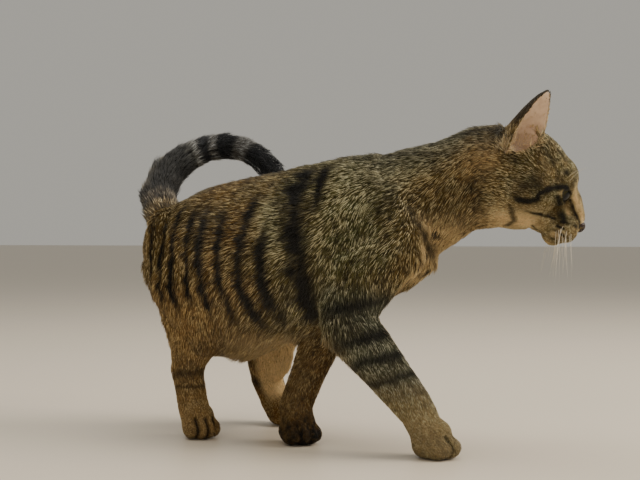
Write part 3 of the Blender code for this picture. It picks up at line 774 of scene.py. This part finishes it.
    # head: pale lines, then dark lines, the rims of the lids and speckles on the brow
    head = share["head"] * smooth(-66, -50, h[:, 0])
    lit = np.zeros(len(points))
    for path, half, strength in pattern["facePale"]:
        lit = np.maximum(lit, strength * bell(strokeGap(sided, path) + 0.25 * half * ragged, half))
    pale = np.maximum(pale * (1 - head), np.maximum(head, smooth(212, 190, z) * share["neck"]) * lit)
    lined = np.zeros(len(points))
    for path, half, strength in pattern["faceDark"]:
        lined = np.maximum(lined, strength * bell(strokeGap(sided, path) + 0.2 * half * fine, half))
    lined = np.maximum(lined, bell(lidEdge(points) - 1.04, 0.16))
    speckle = 0.35 * smooth(0.1, 0.6, noise(points, 4 * mm, 9)) * smooth(-16, -2, h[:, 2])
    dark = np.maximum(dark * (1 - head), head * np.clip(np.maximum(lined, speckle) - 0.1 * fine, 0, 1))
    pale *= 1 - 0.8 * np.clip(lined, 0, 1) * head

    # ears: dark backs that fade to orange at the root, with a pale inner rim
    behind, up = ears[0], ears[2]
    orange = smooth(0.55, 0.25, up)
    inner = sum(smooth(-5, -10, inEar(points, out)[:, 1] * out) * (h[:, 1] * out > 0) for out in (-1, 1))
    dark = blend(dark, (0.8 - 0.75 * orange) * (1 - inner), behind)
    pale = np.maximum(pale, 0.55 * behind * inner)
    warm = blend(warm, 0.75, behind)
    middle, half = pattern["earRoot"]
    dark = np.maximum(dark, 0.85 * bell(np.linalg.norm(sided - middle, axis=1), half))
    return dark, warm, pale, cool


class Wire:  # a socket, so that + - * / on it add Math nodes
    def __init__(self, tree, socket):
        self.tree, self.socket = tree, socket

    def math(self, operation, a, b):
        return self.tree.node("ShaderNodeMath", {"operation": operation}, {0: a, 1: b})

    def __add__(self, other):
        return self.math("ADD", self, other)

    __radd__ = __add__

    def __mul__(self, other):
        return self.math("MULTIPLY", self, other)

    __rmul__ = __mul__

    def __sub__(self, other):
        return self.math("SUBTRACT", self, other)

    def __rsub__(self, other):
        return self.math("SUBTRACT", other, self)

    def __truediv__(self, other):
        return self.math("DIVIDE", self, other)

    def ramp(self, low, high):  # 0 at low, 1 at high, and an S between them
        ends = {0: self, 1: low, 2: high}
        return self.tree.node("ShaderNodeMapRange", {"interpolation_type": "SMOOTHSTEP"}, ends)


class Shader:  # a material with its nodes
    def __init__(self, name):
        self.material = bpy.data.materials.new(name)
        self.material.use_nodes = True
        self.nodes = self.material.node_tree.nodes
        self.links = self.material.node_tree.links
        self.nodes.clear()

    def node(self, kind, settings, inputs, output=0):  # a socket gets a link from a Wire, or else a value
        made = self.nodes.new(kind)
        for key, value in settings.items():
            setattr(made, key, value)
        for key, value in inputs.items():
            if isinstance(value, Wire):
                self.links.new(value.socket, made.inputs[key])
            else:
                made.inputs[key].default_value = value
        return Wire(self, made.outputs[output]) if len(made.outputs) else None

    def mix(self, factor, a, b):  # colour a where the factor is 0, colour b where it is 1
        sockets = {0: factor, 6: self.colour(a), 7: self.colour(b)}
        return self.node("ShaderNodeMix", {"data_type": "RGBA"}, sockets, 2)

    def colour(self, value):  # a colour from a link stays, one in numbers is made linear
        return value if isinstance(value, Wire) else (*linear(*value), 1.0)

    def parts(self, name):  # the three numbers of a vertex colour
        whole = self.node("ShaderNodeAttribute", {"attribute_name": name}, {})
        return [self.node("ShaderNodeSeparateColor", {}, {0: whole}, i) for i in range(3)]

    def place(self):  # Object coordinates
        return self.node("ShaderNodeTexCoord", {}, {}, 3)

    def noise(self, scale, detail=2.0):  # about the middle of 0 to 1, so many waves to the metre
        inputs = {"Vector": self.place(), "Scale": scale, "Detail": detail}
        return self.node("ShaderNodeTexNoise", {}, inputs)

    def bump(self, strength, distance, height):  # for Normal, the distance in metres
        inputs = {"Strength": strength, "Distance": distance, "Height": height}
        return self.node("ShaderNodeBump", {}, inputs)

    def finish(self, inputs):  # the surface's own sockets
        surface = self.node("ShaderNodeBsdfPrincipled", {}, inputs)
        self.node("ShaderNodeOutputMaterial", {}, {0: surface})
        return self.material


furColours = {
    "olive": (98, 102, 58),
    "ochre": (134, 94, 32),
    "grey": (92, 97, 104),
    "cream": (248, 218, 164),
    "stripe": (9, 8, 4),
    "blue": (24, 28, 34),
    "fleck": (212, 182, 122),
    "silver": (214, 212, 176),
    "steel": (146, 152, 160),
    # the hair's dark base, also the painted shade deep in the coat
    "root": (26, 19, 9),
    "ear": (226, 202, 178),
    "earVeins": (188, 156, 136),
    # painted shade low in the ear's hollow
    "earHollowShade": (84, 62, 48),
    "lid": (24, 18, 14),
}


def furColour(s, colours):
    # ground by warmth, then blue-grey and pale parts; each tuft with its own tone by chance, some darkened
    # by chance as painted shade in the coat, all darker at their root, partly the hair's own dark base and
    # partly painted shade of the coat's depth, and some with a light band near the tip; stripes over it all,
    # with the painted shade that the dark marks carry
    dark, warm, pale = s.parts("marks")
    tip, chance, cool = s.parts("hair")
    ground = s.mix(warm, colours["olive"], colours["ochre"])
    ground = s.mix(cool, ground, colours["grey"])
    ground = s.mix(s.noise(90).ramp(0.3, 0.7) * 0.35, ground, colours["root"])
    ground = s.mix(pale, ground, colours["cream"])
    band = tip.ramp(0.3, 0.55) * (1.15 - tip.ramp(0.75, 1.0))
    light = chance.ramp(0.56, 0.82) * band * (1 - dark * 0.8)
    # painted shade: tufts picked by chance go darker towards the root colour, less where pale
    shade = (1 - chance.ramp(0.1, 0.4)) * 0.7
    ground = s.mix(shade * (1 - pale * 0.6), ground, colours["root"])
    fleck = s.mix(cool, s.mix(warm, colours["silver"], colours["fleck"]), colours["steel"])
    ground = s.mix(light * 0.9, ground, fleck)
    # darker towards the root: the hair's own dark base and painted shade deep in the coat
    ground = s.mix((1 - tip.ramp(0.0, 0.45)) * 0.75, ground, colours["root"])
    stripe = s.mix(cool, colours["stripe"], colours["blue"])
    return s.mix(dark * (0.86 + 0.14 * (1 - light)), ground, stripe)


def furMaterial():  # the coat's colours on hair that shines a little, rougher and smoother by noise
    s = Shader("fur")
    bump = s.bump(0.25, 0.0004, s.noise(900, 1.0))
    return s.finish({"Base Color": furColour(s, furColours), "Roughness": 0.5 + 0.25 * s.noise(300),
                     "Normal": bump, "Specular IOR Level": 0.28, "Sheen Weight": 0.06,
                     "Sheen Roughness": 0.4})


def skinMaterial():  # the coat's colours, thin veined ear skin with painted shade low in it, dark lids a little moist
    s = Shader("skin")
    hollow, lid, deep = s.parts("bare")
    fur = furColour(s, furColours)
    thin = s.mix(s.noise(140, 4.0).ramp(0.3, 0.75) * 0.5, furColours["ear"], furColours["earVeins"])
    colour = s.mix(hollow, fur, thin)
    # painted shade low in each ear's hollow
    colour = s.mix(deep, colour, furColours["earHollowShade"])
    colour = s.mix(lid, colour, furColours["lid"])
    bump = s.bump(0.5, 0.0006, s.noise(1500, 3.0) + s.noise(500, 2.0) * 0.8)
    return s.finish({"Base Color": colour, "Roughness": 0.72 - 0.25 * lid, "Normal": bump,
                     "Specular IOR Level": 0.3})


def finishSkin():
    # three vertex colours tell the materials what they need: marks holds stripes with painted shade, warmth
    # and paleness; hair how far up its tuft a point is, the tuft's own chance and the blue-grey; bare the
    # hollow of the ear, the lids and the painted shade deep in the ear
    skin = meshObject("skin", skinPoints, skinTriangles, skinMaterial())
    dark, warm, pale, cool = markings(skinPoints, skinNormals, skinFound, skinShare, skinEars)
    setColour(skin.data, "marks", np.stack([dark, warm, pale], axis=1))
    chance = 0.5 + 0.35 * noise(skinPoints, 1.5 * mm, 21)
    setColour(skin.data, "hair", np.stack([np.full(len(skinPoints), 0.42), chance, cool], axis=1))
    hollow, up = skinEars[1:]
    # deep: painted shade low in each ear's hollow
    lid, deep = smooth(1.16, 1.04, lidEdge(skinPoints)), 0.5 * hollow * smooth(0.42, 0.05, up)
    setColour(skin.data, "bare", np.stack([hollow, lid, deep], axis=1))
    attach(skin, "root")
    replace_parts(skin, *[n for n in nodes if not n.startswith(("eye", "nose"))])


skinEars = earParts(skinPoints, skinNormals)
finishSkin()
print("skin: marked and in place")


def hairWay(points, normals, found, share, ears):
    # along the body's lines, back from the nose on the head, up the ears, sinking with the hair's own
    # weight low down; then laid flat on the skin and relaxed by turns
    h = toHead(points)
    x, z = points[:, 0] / mm, points[:, 2] / mm
    low = smooth(190, 112, z)
    heavy = share["trunk"] * (0.1 + 1.1 * low) + share["neck"] * 0.25
    heavy += 1.1 * smooth(0.0, 0.6, normals[:, 0]) * smooth(72, 104, x) * (1 - share["head"])
    way = sum(share[n][:, None] * found[n]["way"] for n in lineNames[1:])
    fromNose = unit(h - (31, 0, -15)) + np.array([-0.35, 0, -0.25]) * smooth(-4, -22, h[:, 2])[:, None]
    way += share["head"][:, None] * (unit(fromNose) @ headAxes)
    way += heavy[:, None] * np.array([0, 0, -1.0])
    back, hollow = ears[:2]
    for out in (-1, 1):
        axes = earAxes(out)
        on = (np.maximum(back, hollow) * (h[:, 1] * out > 0))[:, None]
        way = blend(way, axes[2] + hollow[:, None] * (0.5 * axes[0] + 0.7 * out * axes[1]), on)
    for turn in range(4):
        way = relaxed(unit(way - dot(way, normals)[:, None] * normals), skinEdges, 0.6, 6)
    return unit(way)


def scattered(count):
    # random places on the skin, evenly spaced along the running total of each triangle's share, which is
    # its area times the coat's count there; what the skin knows at a place is the mean of its triangle's
    # corners by weight, and the way of the hair is turned a little by two sizes of noise and by chance
    a, b, c = (skinPoints[skinTriangles[:, i]] for i in range(3))
    area = np.linalg.norm(np.cross(b - a, c - a), axis=1)
    size = np.stack(coatOver(skinPoints, skinNormals, skinFound, skinShare), axis=1)
    way = hairWay(skinPoints, skinNormals, skinFound, skinShare, skinEars)
    middle, radii = coat["bareNose"]
    leather = np.linalg.norm((toHead(skinPoints) - middle) / radii, axis=1) < 1
    hollow, up = skinEars[1:]
    thick = size[:, 3] * (lidEdge(skinPoints) >= 1.1) * (~leather) * (skinPoints[:, 2] > coat["sole"])
    thick = thick * (1 - (0.97 - 0.35 * smooth(0.45, 0.15, up)) * hollow)
    chance = np.cumsum(area * thick[skinTriangles].mean(axis=1))
    pick = np.searchsorted(chance, (np.arange(count) + rng.random(count)) / count * chance[-1])
    pick = np.minimum(pick, len(area) - 1)
    u, v = rng.random(count), rng.random(count)
    over = u + v > 1
    u, v = np.where(over, 1 - u, u), np.where(over, 1 - v, v)
    weight = np.stack([1 - u - v, u, v], axis=1)
    values = np.hstack([skinPoints, skinNormals, way, relaxed(size, skinEdges, 0.5, 12),
                        np.stack(skinEars, axis=1)])
    values = sum(values[skinTriangles[pick, i]] * weight[:, i, None] for i in range(3))
    place, normal, way = values[:, :3], unit(values[:, 3:6]), values[:, 6:9]
    for blur, amount, seed in ((14, 0.2, 31), (4.5, 0.24, 41)):
        way = way + amount * np.stack([noise(place, blur * mm, seed + i) for i in range(3)], axis=1)
    way += rng.normal(0, 0.07, way.shape)
    way = unit(way - dot(way, normal)[:, None] * normal)
    return place, normal, way, values[:, 9:12].T, values[:, 13:16].T


bakeMap = {
    "patch": 0.003,  # width of one tuft's own patch in the bake's map
    "length": 0.3,  # metres along a line that the map's height stands for
    "inset": 0.005,  # margin all round the map
}
tuftFaces = np.array([(2, 1, 4), (3, 2, 4), (1, 3, 4), (1, 2, 0), (2, 3, 0), (3, 1, 0)])


def tuftObject(name, tuft, mask, bake, material):
    # a tuft is a thin spindle: a root point, a ring of three at its middle and a tip, six triangles
    root, middle, tip = (tuft[key][mask] for key in ("root", "middle", "tip"))
    side, over = tuft["side"][mask], tuft["over"][mask]
    n = len(root)
    points = np.stack([root, middle - side, middle + over, middle + side, tip], axis=1).reshape(-1, 3)
    triangles = (np.arange(n)[:, None, None] * 5 + tuftFaces).reshape(-1, 3)
    made = meshObject(name, points, triangles, material)
    setColour(made.data, "marks", np.repeat(tuft["marks"][mask], 5, axis=0))
    hair = np.repeat(np.stack([np.zeros(n), tuft["chance"][mask], tuft["cool"][mask]], axis=1), 5, axis=0)
    hair[:, 0] = np.tile([0, 0.5, 0.5, 0.5, 1.0], n)
    setColour(made.data, "hair", hair)
    inPatch = (np.array([(0.5, 0), (0, 0.5), (0.5, 0.5), (1, 0.5), (0.5, 1)]) - 0.5) * bakeMap["patch"]
    low, high, inset = bake[mask].min(axis=0), bake[mask].max(axis=0), bakeMap["inset"]
    centre = inset + (1 - 2 * inset) * (bake[mask] - low) / np.maximum(high - low, 1e-6)
    uv = (centre[:, None, :] + inPatch)[:, tuftFaces.ravel()].astype(np.float32)
    made.data.uv_layers.new(name="OFBake").data.foreach_set("uv", uv.ravel())
    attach(made, "root")
    return made


def bakePlaces(place, part, found, ears, foot):
    # where each tuft lies in its piece's map: the angle round its line across, the reach along it up;
    # ears get a band of their own below, and the feet lie side by side
    bake = np.zeros((len(place), 2))
    for i, name in enumerate(lineNames):
        on = part == i
        line = found[name]
        out, run = place[on] - line["near"][on], line["way"][on]
        guide = np.array([1.0, 0, 0] if name in legNames else [0, 0, 1.0])
        upward = unit(guide - run * (run @ guide)[:, None])
        bake[on, 0] = np.arctan2(dot(out, np.cross(run, upward)), dot(out, upward)) / (2 * math.pi)
        bake[on, 1] = line["reach"][on] / bakeMap["length"]
    ear = ears[0] + ears[1] > 0.5
    bake[ear, 1] = -0.25 + 0.2 * ears[2][ear]
    bake[foot, 0] = bake[foot, 0] / 4 + part[foot] * 0.26
    return bake


def coatPieces(place, part, found, foot):
    # which tufts go into which piece, each paired with a slot name: by the line that holds them most, then
    # left or right of the trunk's line or of the head, and before or behind the shoulder
    right = place[:, 1] < found["trunk"]["near"][:, 1]
    headRight = toHead(place)[:, 1] < 0
    ahead = place[:, 0] > coat["shoulderEnd"]
    pieces = {"coat_neck": (part == 1, "coat_face"), "coat_tail": (part == 3, "coat_tail"),
              "coat_feet": (foot, "coat_feet")}
    for hand, on in (("right", True), ("left", False)):
        pieces["coat_head_" + hand] = ((part == 0) & (headRight == on), "coat_face")
        pieces["coat_shoulder_" + hand] = ((part == 2) & (right == on) & ahead, "coat_dark")
        pieces["coat_flank_" + hand] = ((part == 2) & (right == on) & ~ahead, "coat_dark")
    for i, name in enumerate(("leg_front_right", "leg_front_left", "leg_hind_right", "leg_hind_left")):
        pieces["coat_" + name] = ((part == i + 4) & ~foot, "coat_legs")
    return pieces


def growCoat():
    # a tuft leaves its root along the way of the hair, its middle at about two fifths of its length and
    # its tip raised by the depth of the coat; locks, the rump, the ears' rims and the crease change both
    place, normal, way, (depth, length, width), ears = scattered(coat["tufts"])
    n = len(place)
    found, share = survey(place)
    lock = noise(place, 3.2 * mm, 51)
    # more light flecks along the grey lines: painted highlight and sheen over silver hair
    silver = 0.38 * bell(strokeGap(place / mm, pattern["greyBackAndHighlight"]), 26)
    silver = silver + 0.3 * bell(strokeGap(place / mm, pattern["greyFlankSheen"]), 15)
    rump = share["trunk"] + share["hindRight"] + share["hindLeft"]
    rear = 1 - 0.35 * smooth(-0.35, -0.8, normal[:, 0]) * rump
    length = length * rng.uniform(0.75, 1.2, n) * rear
    rise = np.maximum(depth, 0.8 * mm) * (0.92 + 0.14 * lock) * rng.uniform(0.8, 1.06, n) * rear
    fringe = 4 * ears[1] * (1 - ears[1]) * smooth(0.75, 0.3, ears[2])
    length = length + fringe * coat["fringe"]
    rise = rise + 0.35 * fringe * coat["fringe"]
    rise *= 1 - 0.4 * bell(creaseGap(place), 7)
    stray = rng.random(n) < coat["stray"]
    rise = np.where(stray, rise * 1.25, rise)
    width = width * rng.uniform(0.6, 1.25, n)
    seen = place + way * (length * 0.6)[:, None] + normal * (rise * 0.6)[:, None]  # where its colour is told
    dark, warm, pale, cool = markings(seen, normal, *survey(seen), ears)
    pale = np.maximum(pale, 0.9 * smooth(0.08, 0.3, ears[1]))
    chance = rng.random(n) + 0.16 * lock + 0.16 * noise(place, 17 * mm, 61) + silver - 0.06
    tuft = {
        "root": place - normal * coat["sunk"],
        "middle": place + way * (length * 0.42)[:, None] + normal * (rise * 0.72)[:, None],
        "tip": place + way * (length * 0.97)[:, None] + normal * rise[:, None],
        "side": unit(np.cross(normal, way)) * (width * 0.5)[:, None],
        "over": normal * (width * 0.4)[:, None] - way * (width * 0.1)[:, None],
        "marks": np.stack([dark, warm, pale], axis=1),
        "chance": np.clip(chance, 0, 1),
        "cool": cool,
    }
    below = tuft["tip"][:, 2] < coat["lowest"]
    tuft["tip"][below, 2] = coat["lowest"]
    part = np.argmax(np.stack([share[name] for name in lineNames]), axis=0)
    foot = (part >= len(lineNames) - len(legNames)) & (place[:, 2] < coat["footTop"])
    bake = bakePlaces(place, part, found, ears, foot)
    fur = furMaterial()
    for name, (mask, slot) in coatPieces(place, part, found, foot).items():
        tuftObject(name, tuft, mask, bake, fur)
        print(name, mask.sum(), "tufts", mask.sum() * len(tuftFaces), "triangles")


growCoat()


def ballTriangles(rows, columns):
    # triangles over rows and columns that close round a ball; its two poles are the last two points
    grid = np.arange(rows * columns).reshape(rows, columns)
    a, b = grid[:-1], grid[1:]
    quads = np.stack([a, b, np.roll(b, -1, axis=1), np.roll(a, -1, axis=1)], axis=-1).reshape(-1, 4)
    first, last = grid[0], grid[-1]
    ends = [np.stack([np.full(columns, grid.size), first, np.roll(first, -1)], axis=1),
            np.stack([np.full(columns, grid.size + 1), np.roll(last, -1), last], axis=1)]
    return np.concatenate([quads[:, [0, 1, 2]], quads[:, [0, 2, 3]], *ends])


eyeLook = {
    "ball": 10.4,  # radius in millimetres, as the next four are
    "cornea": 1.0,  # how far it stands out
    "pupil": (4.6, 5.2),
    "iris": 7.6,
    "span": 20,  # width that the vertex colours stand for
    "irisColours": ((42, 40, 20), (26, 22, 11)),  # at the pupil and at the rim
    "streaks": (78, 74, 46),
    "rim": (16, 12, 8),
    "pupilColour": (4, 5, 7),
}


def eyeMaterial():
    # by the distance from the middle of the gaze: pupil, streaked iris, and the dark rim beyond it
    s = Shader("eye")
    x, y = s.parts("eye")[:2]
    across, up = (x - 0.5) * eyeLook["span"], (y - 0.5) * eyeLook["span"]
    far = s.node("ShaderNodeMath", {"operation": "SQRT"}, {0: across * across + up * up})
    wide, high = eyeLook["pupil"]
    slit = across / wide * (across / wide) + up / high * (up / high)
    streak = s.noise(700, 3.0)
    iris = s.mix(far.ramp(3.0, eyeLook["iris"]), *eyeLook["irisColours"])
    iris = s.mix(streak.ramp(0.35, 0.7) * 0.6, iris, eyeLook["streaks"])
    iris = s.mix(far.ramp(eyeLook["iris"] - 1.0, eyeLook["iris"]), iris, eyeLook["rim"])
    colour = s.mix(1 - slit.ramp(0.9, 1.15), iris, eyeLook["pupilColour"])
    return s.finish({"Base Color": colour, "Roughness": 0.2, "Specular IOR Level": 0.15,
                     "Coat Weight": 0.08, "Coat Roughness": 0.02})


def makeEye(out, name, material):
    # a ball round the gaze whose radius swells by a bell of the angle from the gaze, where the cornea is
    rows, columns = 48, 96
    polar = np.linspace(0.02, math.pi - 0.02, rows)[:, None]
    turn = np.linspace(0, 2 * math.pi, columns, endpoint=False)[None, :]
    radius = eyeLook["ball"] + eyeLook["cornea"] * bell(np.minimum(polar, 1.2), 0.55)
    local = np.stack([radius * np.sin(polar) * np.cos(turn), radius * np.sin(polar) * np.sin(turn),
                      radius * np.cos(polar) + 0 * turn], axis=-1).reshape(-1, 3)
    local = np.vstack([local, [(0, 0, radius[0, 0]), (0, 0, -radius[-1, 0])]])
    triangles = ballTriangles(rows, columns)
    if out < 0:
        triangles = triangles[:, ::-1]  # that eye's axes are left-handed
    eye = meshObject(name, eyeCentres[out] + local * mm @ eyeAxes(out), triangles, material)
    setColour(eye.data, "eye", np.clip(local / eyeLook["span"] + 0.5, 0, 1))
    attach(eye, "root")
    return eye


eyeFinish = eyeMaterial()
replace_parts(makeEye(1, "eye_globe_left", eyeFinish), "eye_left")
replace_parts(makeEye(-1, "eye_globe_right", eyeFinish), "eye_right")
print("eyes: two balls with iris and pupil")


noseLook = {
    "place": (27.4, 0, -18.6),  # of its middle, in millimetres from the brow
    "size": (4.6, 6.6, 5.2),  # forwards, sideways and up from its middle
    "nostril": [(4.4, 2.4, -0.6), (3.2, 4.4, 0.2), (1.4, 5.8, -0.8)],
    "depths": (2.1, 0.7),  # of the nostrils and of the groove under them
    "colours": ((26, 14, 9), (50, 28, 18)),
}


def noseMaterial():  # dark leather with a grain of small cells
    s = Shader("nose")
    grain = s.node("ShaderNodeTexVoronoi", {}, {"Vector": s.place(), "Scale": 1600.0})
    bump = s.bump(0.5, 0.0003, grain)
    colour = s.mix(s.noise(260, 3.0).ramp(0.3, 0.7), *noseLook["colours"])
    return s.finish({"Base Color": colour, "Roughness": 0.42, "Normal": bump, "Specular IOR Level": 0.4})


def makeNose():
    # a ball squeezed narrow below, pushed in by a bell of the distance to each nostril and to the groove
    rows, columns = 59, 90
    polar = np.linspace(0, math.pi, rows + 2)[1:-1, None]
    turn = np.linspace(0, 2 * math.pi, columns, endpoint=False)[None, :]
    ball = [np.cos(polar) + 0 * turn, np.sin(polar) * np.cos(turn), np.sin(polar) * np.sin(turn)]
    ball = np.vstack([np.stack(ball, axis=-1).reshape(-1, 3), [(1, 0, 0), (-1, 0, 0)]])
    local = ball * np.array(noseLook["size"])
    local[:, 1] *= blend(0.5, 1.05, smooth(-4.5, 3.0, local[:, 2]))
    nostril = bell(strokeGap(mirrored(local), noseLook["nostril"]), 1.15)
    groove = bell(local[:, 1], 0.5) * smooth(0.5, -1.5, local[:, 2]) * (local[:, 0] > 0)
    nostrilDepth, grooveDepth = noseLook["depths"]
    local -= ball * (nostrilDepth * nostril + grooveDepth * groove)[:, None]
    made = meshObject("nose_leather", inHead(local + noseLook["place"]), ballTriangles(rows, columns),
                      noseMaterial())
    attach(made, "root")
    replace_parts(made, "nose")


makeNose()
print("nose: leather with two nostrils")


def hairTubes(name, roots, ways, lengths, radius, sag, material):
    # round tapering hairs of six sides, each curving down by sag times the square of the way along; a ring
    # stands square to the hair at each step
    steps, sides = 14, 6
    t = np.linspace(0, 1, steps)[None, :, None]
    spine = roots[:, None] + ways[:, None] * (lengths[:, None, None] * t)
    spine = spine + np.array([0, 0, -1.0]) * (sag[:, None, None] * lengths[:, None, None] * t * t)
    heading = unit(np.gradient(spine, axis=1))
    aside = unit(np.cross(heading, np.array([0.31, 0.2, 0.93])))
    upward = np.cross(heading, aside)
    angle = np.linspace(0, 2 * math.pi, sides, endpoint=False)
    ring = aside[:, :, None] * np.cos(angle)[:, None] + upward[:, :, None] * np.sin(angle)[:, None]
    taper = (radius * (1 - 0.93 * t))[..., None]
    points = (spine[:, :, None] + ring * taper).reshape(-1, 3)
    grid = np.arange(len(points)).reshape(len(roots), steps, sides)
    a, b = grid[:, :-1], grid[:, 1:]
    quads = np.stack([a, np.roll(a, -1, axis=2), np.roll(b, -1, axis=2), b], axis=-1).reshape(-1, 4)
    made = meshObject(name, points, quads, material)
    work = bmesh.new()
    work.from_mesh(made.data)
    bmesh.ops.holes_fill(work, edges=work.edges, sides=sides)
    bmesh.ops.recalc_face_normals(work, faces=work.faces)
    work.to_mesh(made.data)
    work.free()
    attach(made, "root")
    return made


whiskerLook = {
    "rows": 4,
    "inRow": 3,
    "length": 46,  # of the longest, in millimetres
    "brows": 2,  # long hairs over each eye
    "browLength": (20, 30),
    "radius": 0.2 * mm,
    "colours": ((226, 218, 200), (206, 196, 174)),
}


def whiskerMaterial():  # horn white, a little darker in places
    s = Shader("whisker")
    colour = s.mix(s.noise(60).ramp(0.3, 0.7), *whiskerLook["colours"])
    return s.finish({"Base Color": colour, "Roughness": 0.35})


def makeWhiskers():
    # rows on each side of the muzzle that point outwards and down, each hair with a little chance in its
    # way, length and sag, and then the brow hairs that point up and outwards
    roots, ways, lengths, sag = [], [], [], []
    down = np.array([0, 0, -1.0])
    for out in (-1, 1):
        for row in range(whiskerLook["rows"]):
            for k in range(whiskerLook["inRow"]):
                aside = out * (10.5 + k * 1.3 + row * 0.7)
                roots.append(inHead((21.5 - 3.6 * k - row * 0.8, aside, -25.0 - 2.7 * row)))
                way = headAxes[1] * out * (0.6 + 0.1 * k) + down * (0.5 + 0.06 * row)
                way = way - headForward * (0.02 + 0.1 * k)
                ways.append(way + rng.normal(0, 0.05, 3))
                length = whiskerLook["length"] - 3 * abs(k - 2) - 2 * row
                lengths.append(length * rng.uniform(0.8, 1.1) * mm)
                sag.append(rng.uniform(0.3, 0.5))
        for k in range(whiskerLook["brows"]):
            roots.append(inHead((-6 + 3.2 * k, out * (19 + k * 0.6), 4.5 - 0.6 * k)))
            way = headForward * 0.1 + headAxes[2] * 0.9 + headAxes[1] * out * 0.55
            ways.append(way + rng.normal(0, 0.06, 3))
            lengths.append(rng.uniform(*whiskerLook["browLength"]) * mm)
            sag.append(0.3)
    made = hairTubes("whiskers", np.array(roots), unit(np.array(ways)), np.array(lengths),
                     whiskerLook["radius"], np.array(sag), whiskerMaterial())
    print("whiskers:", len(roots), "hairs")


makeWhiskers()

studio = {
    "floor": 60.0,  # width in metres
    "floorColours": ((214, 204, 188), (204, 192, 174)),
    "air": (226, 222, 212),
    "surroundings": 0.55,
}


def makeStage():  # a square floor round the middle, and an evenly lit room
    s = Shader("floor")
    colour = s.mix(s.noise(3, 4.0) * 0.3, *studio["floorColours"])
    corners = np.array([(-1, -1, 0), (1, -1, 0), (1, 1, 0), (-1, 1, 0)]) * studio["floor"] / 2
    finish = s.finish({"Base Color": colour, "Roughness": 0.42})
    meshObject("floor", corners, [(0, 1, 2, 3)], finish)
    world = bpy.data.worlds.new("studio")
    bpy.context.scene.world = world
    world.use_nodes = True
    background = world.node_tree.nodes["Background"]
    background.inputs[0].default_value = (*linear(*studio["air"]), 1)
    background.inputs[1].default_value = studio["surroundings"]


# Place, what it looks at, size, watts and colour
lights = {
    "window": ((1.5, 0.7, 1.5), (0.05, 0, 0.15), 1.3, 46, (255, 244, 228)),
    "ceiling": ((-0.3, 0.1, 2.0), (0, 0, 0.1), 1.6, 26, (255, 250, 240)),
    "front": ((0.2, -2.0, 0.9), (0, 0, 0.15), 1.5, 8, (255, 238, 214)),
}


def lookAt(obj, place, target):  # its own z axis points away from the target, its x axis stays level
    away = unit(np.array(place, dtype=float) - np.array(target, dtype=float))
    right = unit(np.cross([0, 0, 1.0], away))
    axes = np.eye(4)
    axes[:3, 0], axes[:3, 1], axes[:3, 2], axes[:3, 3] = right, np.cross(away, right), away, place
    obj.matrix_world = Matrix(axes.tolist())


def makeLights():  # square panels, each turned to what it looks at
    for name, (place, target, size, watts, colour) in lights.items():
        light = bpy.data.lights.new(name, "AREA")
        light.size = size
        light.energy = watts
        light.color = linear(*colour)
        lookAt(linked(name, light), place, target)


view = {
    "place": (0.5135, -0.943, 0.175),
    "azimuth": math.radians(29),
    "lens": 67.5,
    "film": 36,
}


def makeCamera():  # level, at the height of its own place, turned by the azimuth
    camera = linked("camera", bpy.data.cameras.new("camera"))
    camera.data.lens = view["lens"]
    camera.data.sensor_width = view["film"]
    camera.data.clip_start = 0.01
    camera.location = view["place"]
    camera.rotation_euler = (math.pi / 2, 0, view["azimuth"])
    bpy.context.scene.camera = camera


makeStage()
makeLights()
makeCamera()
print("stage: floor, lights and camera")
